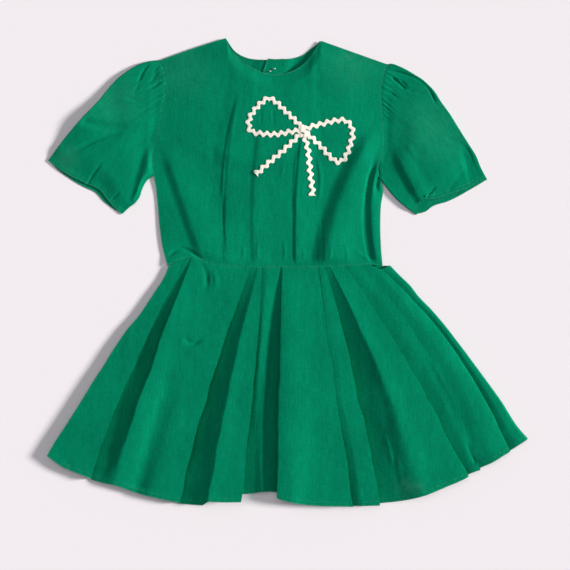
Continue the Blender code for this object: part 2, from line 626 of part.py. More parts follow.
def sleeve_surface(side):
    """A sleeve's outer face, round its flattened tube, as a function of (round, along)."""
    if side == "left":
        upper, lower = curve(SLEEVE_LEFT_UPPER), curve(SLEEVE_LEFT_LOWER)
        hem, under_hem = curve(SLEEVE_LEFT_HEM), curve(SLEEVE_LEFT_UNDER_HEM)
        seam, folds, outward = curve(ARMHOLE_LEFT), SLEEVE_LEFT_FOLDS, -1.0
    else:
        upper, lower = curve(SLEEVE_RIGHT_UPPER), curve(SLEEVE_RIGHT_LOWER)
        hem, under_hem = curve(SLEEVE_RIGHT_HEM), curve(SLEEVE_RIGHT_UNDER_HEM)
        seam, folds, outward = curve(ARMHOLE_RIGHT), SLEEVE_RIGHT_FOLDS, 1.0
    gap = Vector((outward * SEAM_GAP, 0.0))
    facets = faceted(lambda share: seam(1.0 - share), ARMHOLE_STEPS)
    stops = [facets(k / ARMHOLE_STEPS) for k in range(ARMHOLE_STEPS + 1)]
    trim = EDGE_ROLL / sum((there - here).length for here, there in zip(stops, stops[1:]))
    upper_turn = rolled_edge(upper, outward, run_at(facets, 0.0), run_at(hem, 0.0))
    lower_turn = rolled_edge(lower, -outward, run_at(facets, 1.0), run_at(hem, 1.0))

    def armhole(v):
        return facets(trim + (1.0 - 2.0 * trim) * v)

    def upper_line(along):
        return upper(along) + upper_turn(along) * EDGE_ROLL

    def lower_line(along):
        return lower(along) + lower_turn(along) * EDGE_ROLL

    def inner_hem(line):
        shift_start, shift_end = upper_line(1.0) - line(0.0), lower_line(1.0) - line(1.0)
        return lambda v: (line(v) + shift_start * ease(1.0 - v / HEM_BLEND)
                          + shift_end * ease(1.0 - (1.0 - v) / HEM_BLEND))

    top_layer = patch(armhole, inner_hem(hem), upper_line, lower_line)
    under_layer = patch(armhole, inner_hem(under_hem), upper_line, lower_line)
    puff, seam_height = height_along(SLEEVE_PUFF), height_along(SIDE_HEIGHT)
    underarm_half, upper_edge_half = height_along(UNDERARM_HALF), height_along(UPPER_EDGE_HALF[side])
    ring = ring_stops(trim)

    def place(around, along):
        layer, v, turn = ring[round(around * (len(ring) - 1))]
        spot = (top_layer if layer > 0 else under_layer)(v, along) + gap
        if turn < 1.0:
            across = upper_turn(along) if v == 0.0 else lower_turn(along)
            spot -= across * EDGE_ROLL * cos(asin(turn))
        half = underarm_half(along)
        half += (upper_edge_half(along) - half) * ease(1.0 - v / 0.4)
        height = half * (1.0 + layer * turn)
        if layer > 0 and turn == 1.0:
            height += sleeve_rise(v, along, puff(along), folds, spot)
            height += (seam_height(1.0 - 0.6 * v) - height) * ease(1.0 - along / SEAM_BLEND)
            height = max(height, LOWEST_TOP + 2.0 * LAYER_GAP)
        return Vector((spot.x, spot.y, height))
    return place, len(ring) - 1


def sleeve_rise(v, along, puff, folds, spot):
    """Height of a sleeve's upper layer above its rolled edges."""
    height = gather_rise(v, along)
    for fold in folds:
        distance, run = distance_to(fold, spot.x, spot.y)
        height += fold.rise * bump(distance, 2.0 * fold.half) * ease(4.0 * run)
    height *= ease(6.0 * v) * ease(6.0 * (1.0 - v))
    return height + puff * ease(v / 0.45) * ease((1.0 - v) / 0.35)


def gather_rise(v, along):
    """The small pleats of the sleeve cap, beside the armhole."""
    first, last = GATHER_SPAN
    if not first < v < last:
        return 0.0
    share = (v - first) / (last - first)
    return GATHER_RISE * (1 - cos(2 * pi * GATHERS * share)) / 2 * ease(1 - along / GATHER_REACH)


def ring_stops(trim):
    """Stops round a flattened tube: layer (1 upper, -1 under), share of the width, turn.

    The turn is the sine of how far a folded edge's roll has come round: 0 at the very edge, and
    1 where the layer lies flat.
    """
    def roll(layer, share, order):
        return [(layer, share, sin(pi / 2 * step / SLEEVE_ROLL_STEPS)) for step in order]

    def flat(layer, steps, order):
        return [(layer, (k / steps - trim) / (1.0 - 2.0 * trim), 1.0) for k in order]

    rising = range(SLEEVE_ROLL_STEPS + 1)
    falling = range(SLEEVE_ROLL_STEPS, -1, -1)
    return (roll(1, 0.0, rising) + flat(1, SLEEVE_TOP_STEPS, range(1, SLEEVE_TOP_STEPS))
            + roll(1, 1.0, falling) + roll(-1, 1.0, rising)[1:]
            + flat(-1, ARMHOLE_STEPS, range(ARMHOLE_STEPS - 1, 0, -1)) + roll(-1, 0.0, falling))


def make_sleeve(side, cotton):
    surface, around = sleeve_surface(side)
    mesh = sheet_mesh("sleeve_" + side, (around, SLEEVE_LENGTH_STEPS), surface, closed=True,
                      outside_down=True)
    return cloth_panel("sleeve_" + side, mesh, cotton)


def make_braid(name, line_table, front_tree, cream):
    """A strip of zigzag braid, laid on the bodice front along its line."""
    line = curve(line_table)
    length = sum((line((k + 1) / 200) - line(k / 200)).length for k in range(200))
    waves = max(round(length / BRAID_PITCH), 1)
    steps = waves * BRAID_STEPS_PER_WAVE

    def place(u, v):
        spot = line(u)
        run = line(min(u + 0.004, 1.0)) - line(max(u - 0.004, 0.0))
        normal = Vector((-run.y, run.x)).normalized()
        taper = 1.0
        if name in TAPERED_STARTS:
            taper = min(taper, BRAID_END_TAPER + (1 - BRAID_END_TAPER) * ease(u * length / BRAID_TAPER_LENGTH))
        if name in TAPERED_ENDS:
            left = (1 - u) * length
            taper = min(taper, BRAID_END_TAPER + (1 - BRAID_END_TAPER) * ease(left / BRAID_TAPER_LENGTH))
        offset = BRAID_WAVE * sin(2 * pi * waves * u) + BRAID_BAND * (v - 0.5)
        spot = spot + normal * offset * taper
        return Vector((spot.x, spot.y, front_height(front_tree, spot) + BRAID_LIFT + BRAID_DEPTH))

    mesh = sheet_mesh(name, (steps, 1), place)
    return cloth_panel(name, mesh, cream, BRAID_DEPTH)


def front_height(front_tree, spot):
    """Height in millimetres of the bodice front's upper face at a place of the pattern."""
    start = graded((spot.x, spot.y, 100.0))
    hit = front_tree.ray_cast(start, Vector((0.0, 0.0, -1.0)))[0]
    return hit.z / MM


def surface_tree(panel):
    """The panel's outer face, for finding heights on it."""
    shape = bmesh.new()
    shape.from_mesh(panel.data)
    tree = BVHTree.FromBMesh(shape)
    shape.free()
    return tree


def make_button(number, y, plastic):
    """A flat button under the placket, its face on the floor."""
    name = "button_" + str(number)
    mesh = bpy.data.meshes.new(name)
    shape = bmesh.new()
    bmesh.ops.create_cone(shape, cap_ends=True, cap_tris=False, segments=20,
                          radius1=BUTTON_WIDTH / 2 * MM, radius2=BUTTON_WIDTH / 2 * MM,
                          depth=BUTTON_DEPTH * MM)
    shape.to_mesh(mesh)
    shape.free()
    mesh.materials.append(plastic)
    mesh.shade_smooth()
    button = bpy.data.objects.new(name, mesh)
    bpy.context.collection.objects.link(button)
    edge = curve(PLACKET_EDGE)
    share = min(range(1001), key=lambda k: abs(edge(k / 1000).y - y)) / 1000
    button.location = graded((edge(share).x + PLACKET / 2, y, BUTTON_DEPTH / 2))
    rim = button.modifiers.new("rounded rim", "BEVEL")
    rim.width = BUTTON_BEVEL * MM
    rim.segments = 1
    rim.limit_method = "ANGLE"
    return button


def centre_on_origin(pieces):
    """Move the whole dress so that the middle of its outline lies over the origin."""
    bpy.context.view_layer.update()
    depsgraph = bpy.context.evaluated_depsgraph_get()
    corners = []
    for piece in pieces:
        evaluated = piece.evaluated_get(depsgraph)
        corners += [evaluated.matrix_world @ Vector(corner) for corner in evaluated.bound_box]
    for axis in (0, 1):
        values = [corner[axis] for corner in corners]
        for piece in pieces:
            piece.location[axis] -= (min(values) + max(values)) / 2


def build_dress():
    clear_scene()
    cotton = make_material("green_cotton", GREEN_COTTON, 0.85)
    cream = make_material("cream_braid", CREAM_BRAID, 0.8)
    plastic = make_material("green_plastic", GREEN_PLASTIC, 0.35)

    front = cloth_panel("bodice_front",
                        sheet_mesh("bodice_front", BODICE_FRONT_GRID, bodice_front_surface()), cotton)
    pieces = [front]
    for side in ("left", "right"):
        name = "bodice_back_" + side
        mesh = sheet_mesh(name, BODICE_BACK_GRID, bodice_back_surface(side), outside_down=True)
        pieces.append(cloth_panel(name, mesh, cotton))
        pieces.append(make_sleeve(side, cotton))
    pieces.append(cloth_panel("skirt_front",
                              sheet_mesh("skirt_front", SKIRT_FRONT_GRID, skirt_front_surface()), cotton))
    pieces.append(cloth_panel("skirt_back",
                              sheet_mesh("skirt_back", SKIRT_BACK_GRID, skirt_back_surface(),
                                         outside_down=True), cotton))

    front_tree = surface_tree(front)
    for name, line_table in BRAID_STRIPS.items():
        pieces.append(make_braid(name, line_table, front_tree, cream))
    for number, y in enumerate(BUTTON_HEIGHTS, start=1):
        pieces.append(make_button(number, y, plastic))
    centre_on_origin(pieces)


build_dress()
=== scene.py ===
"""A girl's cotton swing dress, laid flat on its back on a white sheet, seen from above.

Each panel of cloth is a fine grid, moved onto the form of its solid, with the smaller creases,
gathers and puckers added. The tables are in millimetres on the flat dress: x to the right, y
towards the neck, z up, with the waist near y = 0. Left and right are those of a person who looks
down on the dress. Shares run from 0 to 1 along a line or across a panel.
"""

from collections import namedtuple
from math import pi, radians

import bmesh
import bpy
import numpy as np
from bpy.props import FloatProperty, FloatVectorProperty, PointerProperty
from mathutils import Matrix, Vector, noise
from mathutils.bvhtree import BVHTree


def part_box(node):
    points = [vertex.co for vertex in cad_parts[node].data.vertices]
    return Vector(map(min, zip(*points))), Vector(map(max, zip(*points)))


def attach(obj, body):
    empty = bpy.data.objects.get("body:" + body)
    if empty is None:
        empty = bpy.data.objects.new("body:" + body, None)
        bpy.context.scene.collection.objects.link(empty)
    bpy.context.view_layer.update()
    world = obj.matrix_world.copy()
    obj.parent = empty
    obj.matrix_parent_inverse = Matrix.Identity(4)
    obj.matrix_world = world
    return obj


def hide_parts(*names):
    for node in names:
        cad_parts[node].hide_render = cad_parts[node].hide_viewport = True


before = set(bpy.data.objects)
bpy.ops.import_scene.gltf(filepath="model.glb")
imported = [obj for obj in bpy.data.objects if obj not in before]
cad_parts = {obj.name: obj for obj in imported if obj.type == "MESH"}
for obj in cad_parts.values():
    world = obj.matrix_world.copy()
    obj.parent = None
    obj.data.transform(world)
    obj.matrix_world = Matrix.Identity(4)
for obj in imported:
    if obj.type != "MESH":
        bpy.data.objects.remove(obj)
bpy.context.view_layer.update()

bl_info = {
    "name": "Swing dress",
    "version": (1, 0, 0),
    "blender": (4, 5, 0),
    "location": "View3D > Sidebar > Dress",
    "description": "Makes a cotton swing dress with a bow of zigzag braid, laid flat",
    "category": "Add Mesh",
}

MM = 0.001

# How the panels meet, in mm
LAP = 0.8                   # how far a seam's lower piece goes under the upper one
TUCK = 0.45                 # how much lower it lies there
TUCK_REACH = 4.0            # how far from the seam it is level again
CAD_CLOTH = 1.2             # wall of the solids
LAYER_GAP = 0.3             # air between two layers
LOWEST_TOP = 1.7            # the lowest that the upper face of a front panel lies
EDGE_ROLL = 1.2             # how far a folded edge turns in
FOLDED_EDGE = 3.0           # how far a folded edge without a row of stitches is rubbed
FAR = 40.0                  # the longest distance from an edge that is kept
SHARP_FOLD = radians(50.0)  # a fold that turns more than this has a sharp edge
WELD = 0.00001              # in metres: points of a closed sheet that are nearer are one
TINY = 0.001                # a share too small to show

# The backs' lap at the centre, over its buttons
PLACKET = 24.0              # width of the lap
BUTTON_ROOM = 2.3           # how much the buttons lift it
ROOM_START = 40.0           # how far below the last button the lift begins
ROOM_SLOPE = 25.0           # length over which it grows
LAP_START = {"left": 22.0, "right": 20.0}  # how far beside the lap a back begins to rise
LAP_SLOPE = 18.0            # width over which it rises

# Skirt
WAIST_Z = 5.0               # height of the waist seam
SWAY = 6.0                  # how far a fold of the skirt wanders from its line
SWAY_GROWTH = 0.5           # share of the way down over which it begins to wander
SWAY_STRETCH = 0.7          # how much the wandering is drawn out down the skirt
WAIST_PULL = 4              # power at which the waist's line fades out down the skirt
EDGE_SHARE = 0.06           # share of the width over which the outer folds bend to the side seams
SKIRT_ROLL_SHARE = 0.05     # share of the back's grid that rolls over the left edge
SKIRT_CALM = (1 / 12, 1 / 14)  # shares over which creases fade out at the sides and the waist

# Bodice
BODICE_PUFF = 5.0           # how much higher its middle lies than its edges
ARMHOLE_SHARE = 0.4         # share of a side edge at which the armhole begins
NECK_SHARES = (0.25, 0.75)  # shares of the front's top edge between which the neck lies
BACK_SHOULDER = 0.5         # share of a back's top edge that is shoulder
NECK_BLEND = 0.2            # share over which a back's straight edge meets its neck
BODICE_CALM = (1 / 14, 1 / 20)  # shares over which wrinkles fade out at its edges
ARMHOLE_CALM = 1 / 12       # share over which folds fade out beside the armhole
ARMPIT_Y = 140.0            # the armhole's foot, where that begins
ARMPIT_FADE = 30.0          # length over which it grows
FOLD_FADE = 45.0            # length over which a fold fades out at its upper end
WAIST_FADE = 16.0           # length over which all folds fade out at the waist

# Sleeves
SLEEVE_TUCK = 0.25          # how much lower a sleeve lies under the armhole's seam
TUCK_SHARE = 0.03           # share of its length over which it is level again
SEAM_BLEND = 0.1            # share of its length over which it comes to the bodice's height
TURN_BLEND = 0.25           # share over which a folded edge's turn comes to the seam's line
HEM_BLEND = 0.15            # share over which its hem comes to the folded edges
END_STEP = 0.02             # share of a line that tells the way of its end
EDGE_BLEND = 0.4            # share of its width up to which the upper edge's height counts
PUFF_SLOPES = (0.45, 0.6)   # shares over which its puff grows from the upper and lower edge
SLEEVE_CALM = 1 / 20        # share over which creases fade out at its folded edges
SLEEVE_WRINKLE = 1.5        # how much higher its wrinkles are than those of the other panels
GATHERS = 9                 # small pleats in the cap
GATHER_RISE = 1.6           # height of the deepest one
GATHER_SHIFT = (1.4, 7.0)   # how far they shift aside, and how often
GATHER_DEPTH = (0.65, 0.35, 19.0)  # their mean depth, how far it varies, and how often
GATHER_ENDS = 12.0          # how soon the outermost reach their depth
GATHER_SLANT = 0.9          # how much they slant
GATHER_SPAN = (0.04, 0.46)  # where they begin and end on the armhole, from the shoulder
GATHER_REACH = 0.17         # share of the sleeve's length that they take

# Small uneven wrinkles: the width of each kind and its share of their height, and the place in
# the noise that each use reads
WRINKLES = ((62.0, 0.6), (24.0, 0.3), (11.0, 0.12))
SEEDS = {"skirt": 1.0, "sway": 8.0, "bodice": 2.0, "left": 2.0, "right": 4.0}
CREASE_POINTS = 9           # points along the bend of a crease

# Grid divisions across and along each panel
SKIRT_FRONT_GRID = (330, 140)
SKIRT_BACK_GRID = (230, 110)
BODICE_FRONT_GRID = (210, 210)
BODICE_BACK_GRID = (110, 150)
SLEEVE_ROUND = (150, 8, 90)  # upper layer, roll, under layer
SLEEVE_ALONG = 84

# Where the waist seam runs, left to right, and the skirt's notch below it at the right
WAIST_LINE = [(-174, 8), (-156, 17), (-139, 20), (-123, 17), (-105, 11), (-76, 7), (-11, 6),
              (61, 7), (98, 9), (122, 10), (137, 8)]
SKIRT_NOTCH = [(122, 8), (130, 4), (138, 4), (148, 9)]

# Folds of the skirt front, from the waist through a point half way down to the hem, with the
# height of the upper face at each
SkirtFold = namedtuple("SkirtFold", "name waist_x mid_x mid_y hem_x hem_y waist_z mid_z hem_z")
SKIRT_FOLDS = [SkirtFold(*row) for row in (
    ("seam on the edge roll", -167, -255, -125, -341, -266, 5.0, 9.5, 11.0),
    ("left flap", -158, -246, -140, -318, -284, 5.0, 11.0, 11.8),
    ("flap edge", -145, -229, -152, -282, -299.5, 5.1, 12.6, 12.8),
    ("first trough", -146, -231, -152.5, -284, -300.5, 4.0, 2.2, 2.4),
    ("first slope", -141, -213, -156, -270, -305, 4.4, 3.6, 7.6),
    ("first crest", -137, -204, -157, -252, -308.5, 5.0, 14.0, 12.0),
    ("first hollow", -119, -172, -162, -222, -319.5, 4.9, 12.0, 9.0),
    ("second slope", -105, -150, -163.5, -205, -324, 4.9, 12.9, 11.8),
    ("second crest", -84, -126, -165, -170, -331, 5.0, 13.2, 12.6),
    ("second edge", -51, -112.5, -166, -155, -334, 5.1, 13.4, 12.9),
    ("third trough", -52, -115, -166, -158.5, -335.5, 4.0, 2.0, 2.0),
    ("third slope", -46, -93, -166, -125, -337.5, 4.4, 10.5, 12.5),
    ("third crest", -41.5, -83, -166, -113.5, -331.5, 5.0, 16.0, 18.5),
    ("third ridge", -39, -66, -166, -90, -332.5, 5.0, 15.4, 17.8),
    ("third edge", -35, -50, -166, -67, -332, 5.1, 15.6, 18.0),
    ("recess left", -36, -52, -166, -71, -324, 4.2, 4.0, 2.2),
    ("recess slope", -28, -44, -166.2, -50, -321, 4.7, 7.2, 5.0),
    ("recess ridge", -22, -38, -166.5, -39, -318.5, 4.8, 7.2, 9.8),
    ("recess fall", -14, -28, -166.8, -28, -318.5, 4.6, 4.4, 6.5),
    ("recess right", -7, -12, -167, -14, -321, 4.0, 2.4, 2.2),
    ("centre edge", -8, -14, -167, -16.5, -325.5, 5.0, 16.0, 19.0),
    ("centre crest", 7, 5, -167, 4, -332, 5.0, 17.8, 20.0),
    ("fifth trough", 28, 43, -167, 35, -337, 4.9, 16.6, 16.0),
    ("fifth crest", 38, 55, -167, 58, -338.5, 5.0, 16.8, 15.2),
    ("sixth edge", 46, 68.5, -167, 94, -339, 5.1, 17.0, 15.4),
    ("sixth trough", 45, 67, -167, 92, -339, 4.5, 13.0, 6.5),
    ("sixth crest", 50, 78, -166.5, 107, -338.5, 4.8, 14.4, 12.2),
    ("seventh edge", 54.5, 99, -166, 134, -337.5, 4.9, 14.6, 12.4),
    ("seventh trough", 54, 97.5, -165.5, 132, -336.5, 4.0, 3.4, 2.4),
    ("seventh slope", 58.5, 127, -163, 162, -332, 4.4, 13.4, 6.6),
    ("seventh crest", 62, 141, -162, 196, -323.5, 5.0, 18.2, 14.2),
    ("seventh ridge", 73, 160, -158, 217, -315.5, 5.0, 16.6, 12.8),
    ("eighth edge", 85, 182.5, -150, 259, -295.5, 5.1, 16.2, 11.4),
    ("eighth trough", 84, 181, -149.5, 257, -295, 4.0, 9.8, 5.5),
    ("eighth ridge", 97, 202, -143, 269, -289.5, 4.9, 13.0, 9.4),
    ("ninth edge", 108.5, 214.5, -140, 278, -286.5, 5.0, 13.1, 9.6),
    ("ninth trough", 107, 212, -139.5, 275.5, -286, 4.2, 9.4, 6.0),
    ("ninth crest", 122, 229, -130, 298, -274.5, 4.9, 11.5, 10.0),
    ("last shoulder", 135, 246.5, -121.5, 321, -260, 4.9, 7.0, 8.0),
    ("edge trough", 134.5, 246, -121, 320, -260, 4.2, 4.2, 3.0),
    ("edge ridge", 142, 251, -117.5, 333, -251.5, 5.0, 6.4, 6.8),
    ("edge rim", 146, 254.5, -115, 344, -244.5, 4.6, 5.8, 6.0),
    ("right edge", 147.5, 255.5, -114, 347.5, -242, 2.4, 2.0, 2.0),
)]
SKIRT_LEFT_EDGE = [(-172, 8.4), (-180, -10), (-193, -30), (-204, -47), (-216, -64.5), (-231, -82),
                   (-243, -99), (-255, -117), (-265, -134), (-277, -152), (-298, -186),
                   (-320, -221), (-337, -247), (-348, -266)]
SKIRT_RIGHT_EDGE = [(148, 9), (163, -6.5), (177, -20), (189, -35.5), (206, -53), (221, -70),
                    (250, -107), (279, -146), (308, -186), (337, -230), (348, -242)]
BACK_HEM = [(-345.5, -267), (-291, -292), (-262, -303), (-214, -314), (-156, -327), (-91, -329),
            (-37, -317), (-16, -317), (18, -331), (76, -335), (134, -333), (177, -324),
            (221, -308), (271, -283.5), (308, -267), (347.5, -243)]

# Low waves of the skirt back, as shares of its width, with their half width and heights
BackRidge = namedtuple("BackRidge", "name waist_share mid_share hem_share half_share mid_z hem_z")
BACK_RIDGES = [BackRidge(*row) for row in (
    ("under the first crest", 0.11, 0.133, 0.138, 0.024, 3.0, 4.0),
    ("under the third crest", 0.42, 0.355, 0.353, 0.026, 5.0, 6.0),
    ("under the centre crest", 0.58, 0.545, 0.510, 0.040, 6.0, 7.5),
    ("under the seventh crest", 0.77, 0.775, 0.740, 0.036, 4.5, 5.5),
)]

# Outlines of the bodice, from the waist up, and of its neck
SIDE_LEFT = [(-174, 8), (-181, 34), (-185, 60), (-188, 92), (-191, 122), (-194, 139)]
ARMHOLE_LEFT = [(-194, 139), (-195, 154), (-195, 169), (-192, 186), (-185, 212), (-181, 237),
                (-176, 263), (-176, 281), (-179, 296), (-185, 306)]
SIDE_RIGHT = [(137, 8), (135, 34), (134, 67), (135, 96), (138, 119), (136, 130), (132, 139)]
ARMHOLE_RIGHT = [(132, 139), (131, 150), (135, 163), (139, 180), (138, 205),
                 (136, 234), (135, 260), (138, 283), (144, 300)]
SHOULDER_LEFT = [(-185, 306), (-137, 323), (-90, 338)]
SHOULDER_RIGHT = [(48, 334), (96, 317), (144, 300)]
NECK_FRONT = [(-90, 338), (-85, 325), (-75, 313), (-63, 302), (-50, 294), (-37, 288), (-21, 285),
              (-7, 286), (9, 291), (23, 300), (33, 311), (41, 323), (48, 334)]
NECK_BACK_LEFT = [(-90, 338), (-75, 318), (-60, 310), (-43, 307), (-31, 306), (-5, 306)]
NECK_BACK_RIGHT = [(-29, 308), (-9, 307), (7, 309), (22, 314), (35, 324), (48, 334)]
PLACKET_EDGE = [(-32, 7), (-34, 133), (-37, 234), (-36, 288), (-29, 308)]
# Height of the bodice's upper face along its side edges and its top edge
SIDE_HEIGHT = [(0.0, WAIST_Z), (0.06, 2.6), (0.3, 1.8), (0.4, 3.0), (0.5, 6.0), (0.7, 7.0),
               (0.9, 6.0), (1.0, 2.9)]
NECKLINE_HEIGHT = [(0.0, 2.9), (0.25, 3.6), (0.33, 5.2), (0.42, 6.6), (0.58, 6.6), (0.68, 5.2),
                   (0.75, 3.6), (1.0, 2.9)]

# Larger folds of the bodice front: the crest through three points, its rise, and the half
# width of its left and right side
BodiceFold = namedtuple("BodiceFold", "name top_x top_y mid_x mid_y low_x low_y rise left right")
BODICE_FOLDS = [BodiceFold(*row) for row in (
    ("left slant", -172, 168, -147, 96, -120, 18, 3.4, 8.0, 26.0),
    ("left dart", -72, 248, -87, 120, -89, 16, 1.4, 3.0, 16.0),
    ("left of centre", -40, 196, -48, 110, -47, 16, 1.2, 3.5, 14.0),
    ("right of centre", 20, 190, 13.5, 110, 12, 24, 2.0, 2.2, 13.0),
    ("right slant", 122, 192, 83, 112, 57, 14, 7.2, 13.0, 26.0),
    ("side trough", 130, 172, 113, 104, 120, 18, -3.8, 3, 4),
    ("side crest", 136, 182, 123, 104, 129, 20, 2.6, 4, 8),
)]

# Outlines of the sleeves
SLEEVE_LEFT_UPPER = [(-185, 306), (-200, 305), (-214, 301), (-229, 293), (-243, 283), (-258, 268),
                     (-272, 250), (-301, 219), (-330, 185), (-339, 173), (-348, 161)]
SLEEVE_LEFT_LOWER = [(-194, 139), (-200, 136), (-206, 130), (-211, 121), (-216, 107), (-222, 99),
                     (-230, 93), (-241, 83)]
SLEEVE_LEFT_HEM = [(-348, 161), (-330, 147), (-313, 137), (-290, 126), (-278, 121), (-272, 117),
                   (-265, 108), (-258, 99), (-241, 83)]
SLEEVE_LEFT_UNDER_HEM = [(-348, 161), (-330, 144), (-316, 134), (-301, 125), (-293, 121),
                         (-279, 114), (-275, 110), (-269, 103), (-258, 94), (-241, 83)]
SLEEVE_RIGHT_UPPER = [(144, 300), (150, 301), (163, 297), (185, 285), (196, 278), (206, 269),
                      (214, 260), (222, 247), (235, 229), (250, 205), (264, 183), (274, 167),
                      (280, 152), (290, 133)]
SLEEVE_RIGHT_LOWER = [(132, 139), (136, 132), (142, 124), (158, 105), (170, 94.5), (187, 82)]
SLEEVE_RIGHT_HEM = [(290, 133), (280, 131), (264, 122), (250, 117), (235, 112), (221, 107),
                    (206, 105), (198, 104), (192, 96), (187, 82)]
SLEEVE_RIGHT_UNDER_HEM = [(290, 133), (264, 118), (250, 110), (231, 101), (212, 95), (199, 86),
                          (187, 82)]
# How much a sleeve's middle stands over its edges, along it
SLEEVE_PUFF = [(0.0, 1.0), (0.15, 3.5), (0.4, 6.0), (0.75, 4.5), (1.0, 0.8)]
# Half the height of a sleeve's folded edges, along them
LOWER_EDGE_HALF = [(0.0, 2.4), (0.75, 2.4), (1.0, 1.15)]
UPPER_EDGE_HALF = {"left": [(0.0, 2.0), (0.35, 3.4), (0.62, 6.2), (0.88, 3.0), (1.0, 1.15)],
                   "right": [(0.0, 2.0), (0.5, 2.8), (1.0, 1.15)]}

# Creases: a line through three points, from its upper or left end, its rise, the half width of
# its shaded side, which is on the right hand of the run, and of the other side, and the shares
# over which it fades in and out. A negative rise is a trough.
Crease = namedtuple("Crease", "name x0 y0 x1 y1 x2 y2 rise shade light fade_in fade_out")
BODICE_CREASES = [Crease(*row) for row in (
    ("left dart line", -73, 252, -89, 175, -95, 103, 1.0, 3, 9, 0.3, 0.1),
    ("left dart seam", -95, 103, -93, 60, -89, 21, -0.5, 2, 2.5, 0.2, 0),
    ("line in the loop", -39, 238, -39, 224, -39, 210, -0.7, 2.5, 2.5, 0.3, 0.3),
    ("second line in the loop", -21, 235, -21, 222, -20, 207, -0.6, 2.5, 2.5, 0.3, 0.3),
    ("line under the knot", 15, 188, 10, 132, 12, 82, 0.9, 3.5, 8, 0.3, 0.2),
    ("short line under the tail", -5, 155, -8, 145, -10, 134, 0.7, 2.5, 4, 0.4, 0.4),
    ("line by the right tail", 38, 175, 47, 135, 42, 94, 1.0, 3.5, 6, 0.3, 0.3),
    ("right dart line", 48, 84, 50, 53, 50, 16, -0.5, 2, 2.5, 0.3, 0),
    ("waist pucker 1", -43, 48, -44, 34, -44, 20, 0.6, 3, 5, 0.5, 0),
    ("waist pucker 2", -8, 51, -5, 35, -5, 18, 0.7, 3, 5, 0.5, 0),
    ("waist pucker 3", -173, 19, -152, 32, -121, 14, -2.6, 3.5, 5, 0.2, 0.2),
    ("waist pucker 4", -159, 20, -138, 18, -118, 14, -0.8, 2.5, 3, 0.3, 0.3),
    ("waist pucker 5", 60, 40, 62, 30, 60, 18, 0.7, 3, 4, 0.5, 0),
    ("waist pucker 6", 78, 44, 84, 32, 86, 18, 0.8, 3, 5, 0.5, 0),
    ("waist pucker 7", 20, 36, 23, 27, 22, 17, 0.6, 2.5, 4, 0.5, 0),
    ("waist pucker 8", -66, 40, -64, 30, -66, 19, 0.6, 2.5, 4, 0.5, 0),
    ("waist pucker 9", 93, 31, 106, 24, 122, 14, 0.9, 3.5, 5, 0.4, 0.3),
    ("armpit line right", 129, 161, 120, 152, 115, 138, 1.4, 3, 6, 0.3, 0.3),
    ("armpit hollow right", 134, 139, 129, 127, 130, 108, -4.2, 5, 5, 0.2, 0.4),
)]
SKIRT_CREASES = [Crease(*row) for row in (
    ("soft fold of the wide panel", -166, -140, -193, -229, -219, -311, -2.4, 16, 30, 0.5, 0),
    ("line below the pucker", -130, 15, -118, -4, -120, -32, -2.8, 4, 6, 0.1, 0.4),
    ("ridge by the pucker", -112, 6, -104, -8, -106, -34, 1.2, 6, 6, 0.3, 0.4),
    ("smile", -150, -92, -139, -104, -120, -95, -2.8, 4, 4, 0.35, 0.35),
    ("short line on the third ridge", -89, -41, -89, -50, -88, -59, 0.7, 3, 4, 0.4, 0.4),
    ("pucker by the left corner", -115, 11, -107, 2, -95, -4, -0.8, 3, 4, 0.3, 0.4),
    ("line under the first crest", -252, -273, -256, -290, -259, -305, 0.9, 2.5, 3, 0.4, 0),
    ("line in the seventh fold", 140, -230, 147, -260, 154, -288, 0.8, 3, 4, 0.3, 0.3),
    ("second line there", 156, -262, 160, -285, 164, -312, 0.8, 3, 4, 0.3, 0.1),
    ("corner fold at the hem", 259, -244, 263, -258, 272, -277, -1.6, 4, 3, 0.4, 0),
    ("line on the ninth ridge", 198, -116, 227, -164, 256, -229, 0.9, 5, 8, 0.3, 0.3),
    ("line at the right corner", 304, -193, 317, -215, 327, -244, 1.0, 4, 6, 0.3, 0.1),
)]
SLEEVE_LEFT_CREASES = [Crease(*row) for row in (
    ("underarm ridge", -191, 190, -202.5, 150, -216, 100, 4.2, 14, 10, 0.4, 0),
    ("narrow trough by the seam", -196, 176, -194, 154, -190, 130, -3.6, 3.5, 3.5, 0.3, 0),
    ("upper trough", -306, 221, -257, 208, -206, 214, -2.2, 9, 10, 0, 0.4),
    ("lower line", -307, 172, -259.5, 195, -213, 201, -1.4, 3, 9, 0.2, 0.2),
    ("cap crease", -198, 305, -209, 288, -215, 273, -2.0, 4, 2, 0.05, 0.2),
    ("tail of the cap crease", -214, 271, -219, 264, -224, 258, -0.8, 4, 3, 0.3, 0.4),
    ("cap crease 2", -188, 289, -193, 281, -199, 273, -1.7, 2.5, 2.5, 0.2, 0.4),
    ("cap crease 3", -184, 274, -194, 266, -204, 262, -1.6, 2.5, 2.5, 0.1, 0.4),
    ("cap crease 4", -186, 300, -191, 292, -196, 284, -1.5, 2.5, 2.5, 0.1, 0.4),
    ("line from the seam", -183, 247, -199, 237, -215, 231, -0.9, 3, 4, 0.2, 0.4),
    ("faint line", -243, 255, -225, 249, -200, 242, -0.6, 4, 4, 0.4, 0.4),
    ("hem crease", -265, 161, -278, 144, -290, 126, -1.0, 5, 2.5, 0.4, 0),
    ("lower crease", -243, 114, -250, 109, -257, 103, -0.9, 2.5, 3, 0.3, 0.2),
)]
